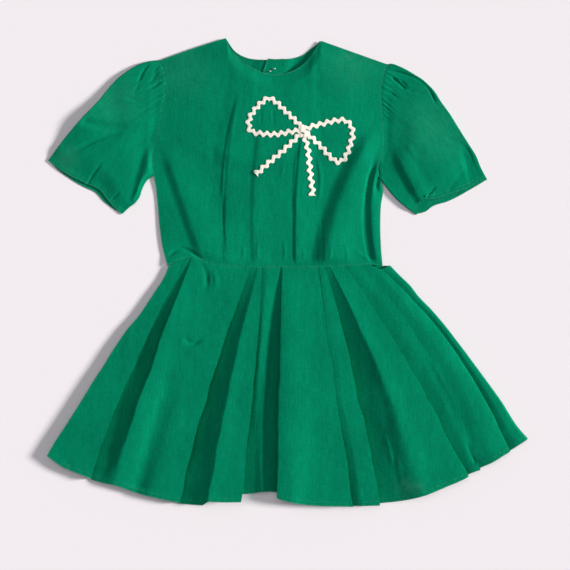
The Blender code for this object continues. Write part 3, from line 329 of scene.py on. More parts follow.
SLEEVE_RIGHT_CREASES = [Crease(*row) for row in (
    ("underarm ridge", 153, 188, 169, 148, 195, 103, 4.2, 12, 24, 0.5, 0),
    ("edge trough", 142, 290, 192, 276, 214, 240, -3.2, 3, 3, 0.1, 0.2),
    ("hem edge trough", 257, 186, 265, 158, 276, 130, -3.0, 16, 6.5, 0.3, 0),
    ("cap crease", 149, 282, 160.5, 273, 171, 263, -2.6, 4, 3.5, 0.2, 0.1),
    ("cap crease 2", 137.5, 273, 149, 259, 162, 250, -0.9, 3, 2.5, 0.1, 0.4),
    ("cap crease 3", 161, 278, 168, 272, 174, 265, -1.4, 2.5, 3, 0.3, 0.3),
    ("soft line", 170, 263, 188, 259, 205, 260, -1.1, 3, 4, 0.2, 0.4),
    ("short line under the cap", 147, 262, 156, 252, 166, 247, -0.7, 2, 3, 0.3, 0.4),
    ("middle line", 170, 186, 180, 172, 188, 158, 0.8, 7, 8, 0.3, 0.4),
    ("hem crease", 216, 125, 208, 116, 201, 108, -1.8, 3, 3, 0.4, 0),
    ("pinch at the hem", 214, 115, 206, 111, 197, 109, 1.6, 2.5, 4, 0.3, 0.1),
    ("soft line above the hem", 262, 150, 246, 136, 232, 116, -0.7, 5, 6, 0.4, 0.1),
    ("soft line across", 222, 196, 246, 186, 262, 178, -0.7, 5, 6, 0.3, 0.4),
)]

# Rubbed, paler places: x, y, radius and how pale
Scuff = namedtuple("Scuff", "x y radius strength")
SCUFFS = [Scuff(*row) for row in (
    (88, 310, 5, 0.5), (170, -312, 14, 0.5), (188, -312, 9, 0.4),
    (-60, 320, 22, 0.2), (95, 300, 40, 0.25), (-150, 290, 40, 0.2),
    (215, 210, 50, 0.22), (-250, 250, 40, 0.2), (-320, 165, 20, 0.3),
)]
SCUFF_SPREAD = 1.6          # a rubbed place ends at this many times its radius
BACK_WEAR = 0.4             # how much of it the backs have

# Buttons, from the neck down, and a button's section: shares of its radius and of its height
BUTTON_HEIGHTS = [293, 215, 137, 59]
BUTTON_SECTION = [(0.0, 0.25), (0.68, 0.25), (0.76, 0.0), (0.9, 0.0), (1.0, 0.3), (1.0, 0.7),
                  (0.88, 1.0), (0.0, 1.0)]
BUTTON_STEPS = 40

# The bow of zigzag braid: the middle line of each strip
BRAID_STRIPS = {
    "braid_loop_left": [(21, 206), (11, 217), (-6, 233), (-20, 246), (-27.5, 249.5),
                        (-35, 245.5), (-48, 232.5), (-54.5, 222), (-56.5, 212), (-55, 205),
                        (-50, 200.5), (-42, 199), (-20, 197.5), (9, 202), (19, 203)],
    "braid_loop_right": [(23, 205), (33, 208.5), (48, 212.5), (68, 217.5), (77, 218.5),
                         (84, 217), (90, 211.5), (93.5, 198), (90, 183), (85.5, 170),
                         (79, 160.5), (71.5, 158.5), (62, 165), (49, 179), (37, 190.5),
                         (26, 200)],
    "braid_tail_left": [(20, 199), (11, 191), (-8, 173), (-27, 157), (-46, 140)],
    "braid_tail_right": [(23, 198), (26, 187), (29.5, 172), (31, 157), (33, 137), (35.5, 118),
                         (36, 109.5)],
    "braid_knot": [(18, 210), (23, 202), (28, 194)],
}
# Height of each strip's edges above the cloth, where they cross under the knot
BRAID_LAYERS = {"braid_loop_left": 0.8, "braid_loop_right": 0.85, "braid_tail_left": 0.95,
                "braid_tail_right": 1.0, "braid_knot": 1.5}
BRAID_CROWN = 0.35          # how much higher a strip's middle is than its edges
BRAID_WALL = 0.0007         # thickness, in metres
FRAY = 0.6                  # how much wider a tail is at its cut end
FRAY_LENGTH = 5.0
ROUNDED = 0.25              # how much flatter a wave's tips are than a sine's
BRAID_STEPS_PER_WAVE = 14
BRAID_ACROSS = 8

# Middle lines of the white thread ends, their radius, and how high they lie over the cloth
THREADS = [[(-27.0, 289.3), (-25.6, 289.6), (-24.2, 289.6)],
           [(-21.4, 292.9), (-19.6, 293.4), (-17.7, 293.2)]]
THREAD_RADIUS = 0.0008      # in metres
THREAD_LIFT = 0.0014        # in metres
THREAD_SIDES = 8

# Lights: name, strength, angle that each fills in degrees, colour, and the way to it
LIGHTS = [("window", 5.35, 12.0, "#FFFAF6", (0.92, 0.08, 0.375)),
          ("soft box", 0.77, 60.0, "#FFFCFA", (-0.1, 0.2, 0.97))]
ROOM_TINT, ROOM_STRENGTH = "#F2F4FF", 0.18
SHEET_HALF = 2.5            # half the sheet's width, in metres
SHEET_DROP = 0.0003         # how far it lies below the dress, in metres
CAMERA_PLACE = (-0.0040, -0.0196, 2.2)  # in metres, straight above the dress
CAMERA_VIEW = 0.8265        # what it sees across on the sheet, in metres
SENSOR = 36.0               # width of its sensor, in mm
HIGH_ABOVE = 0.1            # a height over every fold, in metres, to look down from

# Sockets of the two most used nodes, in the order in which their values are given below
RANGE = ("Value", "From Min", "From Max", "To Min", "To Max")
NOISE = ("Vector", "Scale", "Detail", "Roughness")
WAVE_LENGTH = 0.314         # length of a wave texture's bands at a scale of 1


def colour(hex_value):
    """Linear colour from an sRGB hex value such as #08825D."""
    parts = [int(hex_value[k:k + 2], 16) / 255.0 for k in (1, 3, 5)]
    linear = [p / 12.92 if p <= 0.04045 else ((p + 0.055) / 1.055) ** 2.4 for p in parts]
    return (*linear, 1.0)


def length(name, description, default, low, high):
    """A length in metres that a user can change."""
    return FloatProperty(name=name, description=description, default=default, min=low, max=high,
                         precision=4, unit="LENGTH")


def tint(name, description, hex_value):
    """A colour that a user can change."""
    return FloatVectorProperty(name=name, description=description, default=colour(hex_value),
                               subtype="COLOR", size=4, min=0.0, max=1.0)


class DressSizes(bpy.types.PropertyGroup):
    """Sizes of the cloth, its stitching and the braid."""
    cloth: length("Cloth", "Thickness of a panel's wall", 0.0007, 0.0003, 0.0012)
    hem: length("Hem", "From a hem's edge to its stitching", 0.006, 0.002, 0.03)
    stitch: length("Stitch", "Length of one stitch", 0.0032, 0.001, 0.006)
    wrinkle: length("Wrinkles", "Height of the cloth's small wrinkles", 0.0004, 0.0, 0.002)
    braid_band: length("Braid band", "Width of the braid's band", 0.0062, 0.002, 0.02)
    braid_wave: length("Braid wave", "How far the braid swings to a side", 0.0018, 0.0, 0.01)
    braid_pitch: length("Braid pitch", "Length of one wave of the braid", 0.0107, 0.004, 0.04)


class DressColours(bpy.types.PropertyGroup):
    """Colours of the dress and of the sheet below it."""
    cotton: tint("Cotton", "The cloth where it is unworn", "#017D5B")
    faded: tint("Faded cotton", "The cloth along seams and edges", "#469C79")
    braid: tint("Braid", "The zigzag braid", "#F4EFE2")
    thread: tint("Thread", "The sewn thread ends", "#EDF2EA")
    button: tint("Button", "The moulded buttons", "#0B6B4F")
    sheet: tint("Sheet", "The white sheet below", "#EFEBF0")


def ease(share):
    """A smooth step from 0 to 1."""
    share = np.clip(share, 0.0, 1.0)
    return share * share * (3.0 - 2.0 * share)


def near(gap, reach):
    """1 at an edge, falling smoothly to 0 at a reach from it."""
    return ease(1.0 - gap / reach)


def inside(share, edge):
    """0 at both edges of a panel, rising smoothly to 1 at a share of its width from each."""
    return ease(share / edge) * ease((1.0 - share) / edge)


def bump(distance, half):
    """A smooth hill that is exactly 0 beyond its half width."""
    return 0.5 + 0.5 * np.cos(pi * np.clip(distance / half, -1.0, 1.0))


def knots_of(points):
    """Share of the way along a run of points at each of them, by straight distance."""
    run = np.concatenate([[0.0], np.cumsum(np.linalg.norm(np.diff(points, axis=0), axis=1))])
    return run / run[-1]


def through(points, knots, share, crested=False):
    """Points at shares of a smooth curve through points, each at its own knot.

    A crested curve is level at each crest and trough, so that it never swings past a point.
    """
    step = np.diff(knots)[:, None]
    rise = np.diff(points, axis=-2) / step
    inner = (rise[..., :-1, :] * step[1:] + rise[..., 1:, :] * step[:-1]) / (step[1:] + step[:-1])
    if crested:
        before, after = rise[..., :-1, :], rise[..., 1:, :]
        same = before * after > 0.0
        inner = np.where(same, 2.0 * before * after / np.where(same, before + after, 1.0), 0.0)
    slope = np.concatenate([rise[..., :1, :], inner, rise[..., -1:, :]], axis=-2)
    share = np.clip(share, 0.0, 1.0)
    i = np.clip(np.searchsorted(knots, share, side="right") - 1, 0, len(knots) - 2)
    width = (knots[i + 1] - knots[i])[..., None]
    t = (share - knots[i])[..., None] / width
    return (points[..., i, :] * (2 * t ** 3 - 3 * t ** 2 + 1)
            + slope[..., i, :] * width * (t ** 3 - 2 * t ** 2 + t)
            + points[..., i + 1, :] * (3 * t ** 2 - 2 * t ** 3)
            + slope[..., i + 1, :] * width * (t ** 3 - t ** 2))


def curve(table):
    """A smooth curve, as a function of shares from 0 to 1, through a table of points."""
    points = np.array(table, float)
    knots = knots_of(points)
    return lambda share: through(points, knots, np.asarray(share, float))


def length_of(line, steps):
    """Length of a curve, from places along it."""
    return np.linalg.norm(np.diff(line(np.linspace(0, 1, steps)), axis=0), axis=1).sum()


def joined(parts):
    """One curve from several, each given with the share where it ends."""
    def place(share):
        start, spot = 0.0, None
        for line, end in parts:
            here = line((share - start) / (end - start))
            spot = here if spot is None else np.where((share > start)[..., None], here, spot)
            start = end
        return spot
    return place


def height_along(table):
    """Height as a smooth function of a share, from rows of share and height."""
    def height(share):
        value = np.full(np.shape(share), float(table[0][1]))
        for (share_a, height_a), (share_b, height_b) in zip(table, table[1:]):
            value += (height_b - height_a) * ease((share - share_a) / (share_b - share_a))
        return value
    return height


def lagrange(first, middle, last, t):
    """Value at t of the parabola through its values at 0, a half and 1."""
    return first * (1 - t) * (1 - 2 * t) + middle * 4 * t * (1 - t) + last * t * (2 * t - 1)


def patch(bottom, top, left, right):
    """A four-sided sheet, as a function of (across, up), between four curves."""
    zero, one = np.array(0.0), np.array(1.0)

    def place(across, up):
        s, t = across[..., None], up[..., None]
        corners = ((bottom(zero) * (1 - s) + bottom(one) * s) * (1 - t)
                   + (top(zero) * (1 - s) + top(one) * s) * t)
        return (bottom(across) * (1 - t) + top(across) * t + left(up) * (1 - s)
                + right(up) * s - corners)
    return place


def inset(line, share, distance):
    """Points beside a curve, at a distance to the right of its run."""
    step = 0.01
    run = line(np.minimum(share + step, 1.0)) - line(np.maximum(share - step, 0.0))
    side = np.stack([run[..., 1], -run[..., 0]], axis=-1)
    return line(share) + side / np.linalg.norm(side, axis=-1, keepdims=True) * distance


def raised(line, height):
    """A plan curve with a height along it."""
    return lambda share: np.concatenate([line(share), height(share)[..., None]], axis=-1)


def by_first(table):
    """Second column of a table as a smooth function of its first column."""
    rows = np.array(table, float)
    start, end = rows[0, 0], rows[-1, 0]
    knots = (rows[:, 0] - start) / (end - start)
    return lambda x: through(rows[:, 1:], knots, (x - start) / (end - start))[..., 0]


waist_y = by_first(WAIST_LINE)
notch_y = by_first(SKIRT_NOTCH)


def skirt_top_y(x):
    """The skirt's top edge: at the waist seam, and in its notch at the right."""
    low = np.minimum(notch_y(x), waist_y(x) + LAP)
    y = np.where(x < SKIRT_NOTCH[0][0], waist_y(x) + LAP, low)
    return np.where(x > WAIST_LINE[-1][0], notch_y(x), y)


def line_gap(x, y, points):
    """Distance to a line of points, the side of it that a place lies on, and the share along."""
    gap, side, along = np.full(x.shape, 1e9), np.ones(x.shape), np.zeros(x.shape)
    count = len(points) - 1
    for k in range(count):
        start, run = points[k], points[k + 1] - points[k]
        from_x, from_y = x - start[0], y - start[1]
        share = np.clip((from_x * run[0] + from_y * run[1]) / run.dot(run), 0.0, 1.0)
        distance = np.hypot(from_x - run[0] * share, from_y - run[1] * share)
        nearer = distance < gap
        gap = np.where(nearer, distance, gap)
        side = np.where(nearer, np.sign(run[0] * from_y - run[1] * from_x), side)
        along = np.where(nearer, (k + share) / count, along)
    return gap, side, along


def creased(x, y, creases):
    """Height that all the creases add at places."""
    total = np.zeros(x.shape)
    for crease in creases:
        ends = np.array(crease[1:7], float).reshape(3, 2)
        bend = np.array([lagrange(*ends, t) for t in np.linspace(0.0, 1.0, CREASE_POINTS)])
        gap, side, along = line_gap(x, y, bend)
        half = np.where(side < 0.0, crease.shade, crease.light)
        fade = ease(along / max(crease.fade_in, TINY))
        fade = fade * ease((1.0 - along) / max(crease.fade_out, TINY))
        total += crease.rise * bump(gap, half) * fade
    return total


def wrinkled(x, y, seed):
    """Small uneven wrinkles of cloth, about -1 to 1."""
    total = np.zeros(x.size)
    for width, share in WRINKLES:
        total += share * np.array([noise.noise(Vector((a / width, b / width, seed)))
                                   for a, b in zip(x.ravel(), y.ravel())])
    return total.reshape(x.shape)


def wrinkle_mm():
    """Height of the small wrinkles, in mm."""
    return bpy.context.scene.dress_sizes.wrinkle / MM


def skirt_front_surface(s, t):
    """The skirt front's upper face, through all its folds."""
    hem = np.array([(fold.hem_x, fold.hem_y, fold.hem_z) for fold in SKIRT_FOLDS], float)
    middle = np.array([(fold.mid_x, fold.mid_y, fold.mid_z) for fold in SKIRT_FOLDS], float)
    waist_x = np.array([fold.waist_x for fold in SKIRT_FOLDS], float)
    waist = np.stack([waist_x, skirt_top_y(waist_x), [fold.waist_z for fold in SKIRT_FOLDS]],
                     axis=-1)
    knots = (knots_of(hem[:, :3]) + knots_of(middle[:, :3])) / 2
    down = 1.0 - t
    row = down[:, 0]
    # Each fold's line falls on a column of the grid, and the columns gather at the lines
    folds = np.arange(len(knots))
    count = SKIRT_FRONT_GRID[0]
    column = np.round(folds + knots * (count - len(knots) + 1)) / count
    place = np.interp(s[0], column, folds)
    place = np.floor(place) + ease(place - np.floor(place))
    s = np.broadcast_to(np.interp(place, folds, knots), s.shape)
    section = lagrange(waist[None], middle[None], hem[None], row[:, None, None])
    spots = through(section, knots, s[0], crested=True)
    # The outer folds bend to the two side seams, and the inner ones wander a little
    left = inset(curve(SKIRT_LEFT_EDGE), row, LAP - EDGE_ROLL) - section[:, 0, :2]
    right = curve(SKIRT_RIGHT_EDGE)(row) - section[:, -1, :2]
    spots[..., :2] += (left[:, None, :] * near(s, EDGE_SHARE)[..., None]
                       + right[:, None, :] * near(1.0 - s, EDGE_SHARE)[..., None])
    sway = SWAY * wrinkled(spots[..., 0], SWAY_STRETCH * spots[..., 1], SEEDS["sway"])
    spots[..., 0] += sway * ease(down / SWAY_GROWTH) * inside(s, EDGE_SHARE)
    at_waist = through(waist, knots, s[0], crested=True)
    spots[..., 1] += (skirt_top_y(at_waist[:, 0]) - at_waist[:, 1]) * t ** WAIST_PULL
    spots[..., 1] = np.minimum(spots[..., 1], skirt_top_y(spots[..., 0]))
    x, y = spots[..., 0], spots[..., 1]
    calm = inside(s, SKIRT_CALM[0]) * ease(down / SKIRT_CALM[1])
    wrinkles = wrinkle_mm() * wrinkled(x, y, SEEDS["skirt"])
    spots[..., 2] += (creased(x, y, SKIRT_CREASES) + wrinkles) * calm
    spots[..., 2] -= TUCK * near(skirt_top_y(x) - y, TUCK_REACH) * (x < SKIRT_NOTCH[0][0])
    spots[..., 2] = np.maximum(spots[..., 2], LOWEST_TOP)
    return spots


def skirt_back_surface(u, up):
    """The skirt back's outer face: on the floor, and rolled up and over at its left edge."""
    outline = curve(SKIRT_LEFT_EDGE)
    hem = curve(BACK_HEM)
    left = lambda share: inset(outline, share, -EDGE_ROLL)
    right = lambda share: inset(curve(SKIRT_RIGHT_EDGE), share, LAP)
    start, end = left(np.array(0.0))[0], right(np.array(0.0))[0]

    def top_edge(s):
        x = start + (end - start) * s
        over = np.maximum(SKIRT_NOTCH[-1][1], waist_y(x) + LAP)
        return np.stack([x, np.where(x > SKIRT_NOTCH[0][0], over, skirt_top_y(x))], axis=-1)

    flat = patch(hem, top_edge, lambda t: left(1 - t), lambda t: right(1 - t))
    s = np.maximum((u - SKIRT_ROLL_SHARE) / (1.0 - SKIRT_ROLL_SHARE), 0.0)
    down = 1.0 - up
    spots = flat(s, up)
    rise = np.zeros(s.shape)
    for ridge in BACK_RIDGES:
        centre = lagrange(ridge.waist_share, ridge.mid_share, ridge.hem_share, down)
        rise += lagrange(0.0, ridge.mid_z, ridge.hem_z, down) * bump(s - centre, ridge.half_share)
    outward = outline(down) - left(down)
    outward /= np.linalg.norm(outward, axis=-1, keepdims=True)
    turn = pi * np.clip(1.0 - u / SKIRT_ROLL_SHARE, 0.0, 1.0)
    seam = SKIRT_FOLDS[0]
    roll = lagrange(seam.waist_z, seam.mid_z, seam.hem_z, down) / 2
    spots = spots + outward * (EDGE_ROLL * np.sin(turn))[..., None]
    height = np.maximum(rise, 0.0) + roll * (1.0 - np.cos(turn))
    height += TUCK * near(top_edge(s)[..., 1] - spots[..., 1], TUCK_REACH) * (turn == 0.0)
    return np.concatenate([spots, height[..., None]], axis=-1)


def fold_rise(x, y):
    """Sum of the bodice front's larger folds."""
    total = np.zeros(x.shape)
    for fold in BODICE_FOLDS:
        low, mid, top = fold.low_y, fold.mid_y, fold.top_y
        crest = (fold.low_x * (y - mid) * (y - top) / ((low - mid) * (low - top))
                 + fold.mid_x * (y - low) * (y - top) / ((mid - low) * (mid - top))
                 + fold.top_x * (y - low) * (y - mid) / ((top - low) * (top - mid)))
        half = np.where(x < crest, fold.left, fold.right)
        along = ease((top + FOLD_FADE / 2 - y) / FOLD_FADE)
        within = (low - FOLD_FADE < y) & (y < top + FOLD_FADE)
        total += fold.rise * bump(x - crest, 2.0 * half) * along * within
    return total * ease((y - waist_y(x)) / WAIST_FADE)


def side_lines():
    """The bodice's two side edges, from the waist over the armhole to the shoulder."""
    return (joined([(curve(SIDE_LEFT), ARMHOLE_SHARE), (curve(ARMHOLE_LEFT), 1.0)]),
            joined([(curve(SIDE_RIGHT), ARMHOLE_SHARE), (curve(ARMHOLE_RIGHT), 1.0)]))


def bodice_front_surface(s, t):
    """The bodice front's upper face."""
    first_x, last_x = WAIST_LINE[0][0], WAIST_LINE[-1][0]

    def bottom(share):
        x = first_x + (last_x - first_x) * share
        return np.stack([x, waist_y(x), np.full(x.shape, WAIST_Z)], axis=-1)

    left, right = side_lines()
    neck_start, neck_end = NECK_SHARES
    top = raised(joined([(curve(SHOULDER_LEFT), neck_start), (curve(NECK_FRONT), neck_end),
                         (curve(SHOULDER_RIGHT), 1.0)]), height_along(NECKLINE_HEIGHT))
    edge_height = height_along(SIDE_HEIGHT)
    spots = patch(bottom, top, raised(left, edge_height), raised(right, edge_height))(s, t)
    x, y = spots[..., 0], spots[..., 1]
    plateau = (1 - (2 * s - 1) ** 2) * (1 - (2 * t - 1) ** 4)
    calm = inside(s, BODICE_CALM[0]) * inside(t, BODICE_CALM[1])
    at_side = near(np.minimum(s, 1.0 - s), ARMHOLE_CALM)
    level = 1.0 - at_side * ease((y - ARMPIT_Y) / ARMPIT_FADE)
    folds = (fold_rise(x, y) + creased(x, y, BODICE_CREASES)) * level
    spots[..., 2] += BODICE_PUFF * plateau + folds
    spots[..., 2] += wrinkle_mm() * wrinkled(x, y, SEEDS["bodice"]) * calm
    spots[..., 2] = np.maximum(spots[..., 2], LOWEST_TOP)
    return spots


def bodice_back_surface(side):
    """Lower face of one bodice back, as a function of (across, up)."""
    left, right = side_lines()
    edge = curve(PLACKET_EDGE)
    zero, one = np.array(0.0), np.array(1.0)
    if side == "left":
        top = joined([(curve(SHOULDER_LEFT), BACK_SHOULDER), (curve(NECK_BACK_LEFT), 1.0)])
        start, end = WAIST_LINE[0][0], PLACKET_EDGE[0][0] + PLACKET
        edges = (left, lambda t: edge(t) + np.array((PLACKET, 0.0)))
        lap_end, corner, top_corner = 1.0, edges[1](one), top(one)
    else:
        top = joined([(curve(NECK_BACK_RIGHT), BACK_SHOULDER), (curve(SHOULDER_RIGHT), 1.0)])
        start, end = PLACKET_EDGE[0][0], WAIST_LINE[-1][0]
        edges = (edge, right)
        lap_end, corner, top_corner = 0.0, edge(one), top(zero)

    def bottom(s):
        x = start + (end - start) * s
        return np.stack([x, waist_y(x)], axis=-1)

    def straight_top(s):
        return top(s) + (corner - top_corner) * near(abs(s - lap_end), NECK_BLEND)[..., None]

    def place(s, t):
        spots = patch(bottom, straight_top, *edges)(s, t)
        x, y = spots[..., 0], spots[..., 1]
        crossing = edge(t)[..., 0]
        lift = BUTTON_ROOM * ease((y - BUTTON_HEIGHTS[-1] + ROOM_START) / ROOM_SLOPE)
        if side == "left":
            height = lift * ease((x - crossing + LAP_START[side]) / LAP_SLOPE)
        else:
            over = lift + CAD_CLOTH + 2.0 * LAYER_GAP
            height = over * ease((crossing + PLACKET + LAP_START[side] - x) / LAP_SLOPE)
        return np.concatenate([spots, height[..., None]], axis=-1)
    return place


def rolled_edge(line, side, start_run, end_run):
    """How a tube's folded edge turns in: unit vectors across it, as a function of shares."""
    def across(share):
        square = inset(line, share, side) - line(share)
        at_start = near(share, TURN_BLEND)[..., None]
        at_end = near(1.0 - share, TURN_BLEND)[..., None]
        blend = square * (1.0 - at_start - at_end) + start_run * at_start + end_run * at_end
        return blend / np.linalg.norm(blend, axis=-1, keepdims=True)
    return across


def run_at(line, share):
    """Unit direction in which a curve leaves one of its ends."""
    run = line(np.array(END_STEP if share == 0.0 else 1.0 - END_STEP)) - line(np.array(share))
    return run / np.linalg.norm(run)


def gathers(v, along):
    """The small pleats of the sleeve cap, beside the armhole, uneven in width and depth."""
    first, last = GATHER_SPAN
    shift, shifts = GATHER_SHIFT
    mean, vary, varies = GATHER_DEPTH
    share = np.clip((v - first) / (last - first) - GATHER_SLANT * along, 0.0, 1.0)
    wave = (1 - np.cos(2 * pi * GATHERS * share + shift * np.sin(shifts * share))) / 2
    uneven = mean + vary * np.sin(varies * share + 1.0)
    return (GATHER_RISE * wave * uneven * near(along, GATHER_REACH)
            * ease(GATHER_ENDS * share * (1 - share)))


def sleeve_surface(side):
    """A sleeve's outer face, round its flattened tube, and the stops round the tube."""
    if side == "left":
        upper, lower = curve(SLEEVE_LEFT_UPPER), curve(SLEEVE_LEFT_LOWER)
        hem, under_hem = curve(SLEEVE_LEFT_HEM), curve(SLEEVE_LEFT_UNDER_HEM)
        seam, creases, outward = curve(ARMHOLE_LEFT), SLEEVE_LEFT_CREASES, -1.0
    else:
        upper, lower = curve(SLEEVE_RIGHT_UPPER), curve(SLEEVE_RIGHT_LOWER)
        hem, under_hem = curve(SLEEVE_RIGHT_HEM), curve(SLEEVE_RIGHT_UNDER_HEM)
        seam, creases, outward = curve(ARMHOLE_RIGHT), SLEEVE_RIGHT_CREASES, 1.0
    zero, one = np.array(0.0), np.array(1.0)
    down_seam = lambda share: seam(1.0 - share)
    trim = EDGE_ROLL / length_of(seam, 60)
    upper_turn = rolled_edge(upper, outward, run_at(down_seam, 0.0), run_at(hem, 0.0))
    lower_turn = rolled_edge(lower, -outward, run_at(down_seam, 1.0), run_at(hem, 1.0))
    upper_line = lambda along: upper(along) + upper_turn(along) * EDGE_ROLL
    lower_line = lambda along: lower(along) + lower_turn(along) * EDGE_ROLL
    armhole = lambda v: down_seam(trim + (1.0 - 2.0 * trim) * v)

    def inner_hem(line):
        shift_start, shift_end = upper_line(one) - line(zero), lower_line(one) - line(one)
        return lambda v: (line(v) + shift_start * near(v, HEM_BLEND)[..., None]
                          + shift_end * near(1.0 - v, HEM_BLEND)[..., None])

    top_layer = patch(armhole, inner_hem(hem), upper_line, lower_line)
    under_layer = patch(armhole, inner_hem(under_hem), upper_line, lower_line)
    # Stops round the tube: layer, 1 for the upper one, share of its width, share of the roll
    flat_top, roll, flat_under = SLEEVE_ROUND
    ring = np.array([(1, 0.0, k / roll) for k in range(roll)]
                    + [(1, k / flat_top, 1.0) for k in range(flat_top)]
                    + [(1, 1.0, 1 - k / roll) for k in range(roll)]
                    + [(-1, 1.0, k / roll) for k in range(roll)]
                    + [(-1, 1 - k / flat_under, 1.0) for k in range(flat_under)]
                    + [(-1, 0.0, 1 - k / roll) for k in range(roll + 1)])

    def place(around, along):
        layer, v, turn = np.moveaxis(ring[np.rint(around * (len(ring) - 1)).astype(int)], -1, 0)
        turn = np.sin(pi / 2 * turn)
        half = height_along(LOWER_EDGE_HALF)(along)
        half += (height_along(UPPER_EDGE_HALF[side])(along) - half) * near(v, EDGE_BLEND)
        spots = np.where((layer > 0)[..., None], top_layer(v, along), under_layer(v, along))
        across = np.where((v < 0.5)[..., None], upper_turn(along), lower_turn(along))
        spots = spots - across * (EDGE_ROLL * np.sqrt(np.maximum(1.0 - turn ** 2, 0.0)))[..., None]
        spots = spots - np.array((outward * LAP, 0.0))
        x, y = spots[..., 0], spots[..., 1]
        puff = (height_along(SLEEVE_PUFF)(along) * ease(v / PUFF_SLOPES[0])
                * ease((1.0 - v) / PUFF_SLOPES[1]))
        wrinkles = SLEEVE_WRINKLE * wrinkle_mm() * wrinkled(x, y, SEEDS[side])
        rise = gathers(v, along) + creased(x, y, creases) + wrinkles
        rise = rise * inside(v, SLEEVE_CALM) + puff
        upper_face = np.maximum(2.0 * half + rise, LOWEST_TOP + 2.0 * LAYER_GAP)
        at_seam = height_along(SIDE_HEIGHT)(1.0 - (1.0 - ARMHOLE_SHARE) * v)
        at_seam = np.maximum(at_seam, LOWEST_TOP) + gathers(v, along) * ease(along / TUCK_SHARE)
        at_seam -= SLEEVE_TUCK * near(along, TUCK_SHARE)
        by_seam = near(along, SEAM_BLEND)
        upper_face = upper_face * (1.0 - by_seam) + at_seam * by_seam
        flat_part = (layer > 0) & (turn > 1.0 - TINY)
        height = np.where(flat_part, upper_face, half * (1.0 + layer * turn))
        height += SLEEVE_TUCK * (layer < 0) * near(along, TUCK_SHARE)
        return np.concatenate([spots, height[..., None]], axis=-1)
    return place, len(ring) - 1


def gap_from(spots, edge):
    """Distance in mm of each place of a grid from one of its edges, along the cloth."""
    axis = 0 if edge in ("low", "high") else 1
    if edge in ("high", "right"):
        spots = np.flip(spots, axis)
    step = np.linalg.norm(np.diff(spots, axis=axis), axis=-1)
    start = np.zeros_like(step[:1]) if axis == 0 else np.zeros_like(step[:, :1])
    gap = np.concatenate([start, np.cumsum(step, axis=axis)], axis=axis)
    return np.flip(gap, axis) if edge in ("high", "right") else gap


def scuffed(spots):
    """How worn the cloth is at places, 0 to 1."""
    worn = np.zeros(spots.shape[:-1])
    for spot in SCUFFS:
        gap = np.hypot(spots[..., 0] - spot.x, spots[..., 1] - spot.y)
        worn += spot.strength * bump(gap, SCUFF_SPREAD * spot.radius)
    return np.clip(worn, 0.0, 1.0)


def pattern_origin():
    """Where the tables' origin lies in the frame: the first button tells."""
    low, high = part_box("button_1")
    edge = curve(PLACKET_EDGE)(np.linspace(0.0, 1.0, 1001))
    x = edge[np.argmin(abs(edge[:, 1] - BUTTON_HEIGHTS[0])), 0] + PLACKET / 2
    return np.array([(low[0] + high[0]) / 2 - x * MM,
                     (low[1] + high[1]) / 2 - BUTTON_HEIGHTS[0] * MM, 0.0])


ORIGIN = pattern_origin()


def above(spot):
    """The place straight above a spot of the flat dress, over every fold."""
    return Vector((*(np.array(spot) * MM + ORIGIN[:2]), HIGH_ABOVE))


def finished(shape, name):
    """A mesh from a bmesh, which is freed."""
    mesh = bpy.data.meshes.new(name)
    shape.to_mesh(mesh)
    shape.free()
    return mesh


def laid(name, grid, surface, marks, closed=False, outside_down=False):
    """A fine grid moved onto a surface, with its distances from hems and seams as attributes.

    marks takes (across, up, spots) and gives the distances in mm from a hem and from a seam, how
    worn the cloth is, and the place along the grain of the cloth, in mm.
    """
    across, up = np.meshgrid(np.arange(grid[0] + 1) / grid[0], np.arange(grid[1] + 1) / grid[1])
    spots = surface(across, up)
    hem, seam, worn, grain = marks(across, up, spots)
    shape = bmesh.new()
    bmesh.ops.create_grid(shape, x_segments=grid[0], y_segments=grid[1], size=0.5)
    layers = [shape.verts.layers.float.new(key) for key in ("hem_gap", "seam_gap", "worn")]
    grain_map = shape.loops.layers.uv.new("grain")
    places = spots * MM + ORIGIN
    cells = {}
    for vertex in shape.verts:
        cell = (round((vertex.co.y + 0.5) * grid[1]), round((vertex.co.x + 0.5) * grid[0]))
        cells[vertex.index] = cell
        vertex[layers[0]] = min(hem[cell], FAR) * MM
        vertex[layers[1]] = min(seam[cell], FAR) * MM
        vertex[layers[2]] = worn[cell]
    for face in shape.faces:
        face.smooth = True
        for loop in face.loops:
            loop[grain_map].uv = grain[cells[loop.vert.index]] * MM
    for vertex in shape.verts:
        vertex.co = places[cells[vertex.index]]
    if closed:
        bmesh.ops.remove_doubles(shape, verts=shape.verts, dist=WELD)
    shape.normal_update()
    for edge in shape.edges:
        edge.smooth = not edge.is_boundary and edge.calc_face_angle(0.0) < SHARP_FOLD
    lowest = min(shape.faces, key=lambda face: face.calc_center_median().z)
    if (lowest.normal.z < 0.0) != outside_down:
        bmesh.ops.reverse_faces(shape, faces=shape.faces)
    return finished(shape, name)


def placed(name, data):
    """A new object in the scene."""
    made = bpy.data.objects.new(name, data)
    bpy.context.collection.objects.link(made)
    return made


def piece(name, mesh, material, node=None):
    """An object on the part's one body that stands for its CAD node."""
    made = placed(name, mesh)
    mesh.materials.append(material_of(material))
    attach(made, "root")
    if node:
        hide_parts(node)
    return made


def walled(made, label, thickness):
    """Give a sheet a wall, which grows to its inside."""
    wall = made.modifiers.new(label, "SOLIDIFY")
    wall.thickness = thickness
    wall.offset = -1.0
    return made


def cloth(name, mesh, node):
    """A panel of cotton: the grid is its outer face."""
    made = piece(name, mesh, "green_cotton_plain_weave", node)
    return walled(made, "cloth thickness", bpy.context.scene.dress_sizes.cloth)


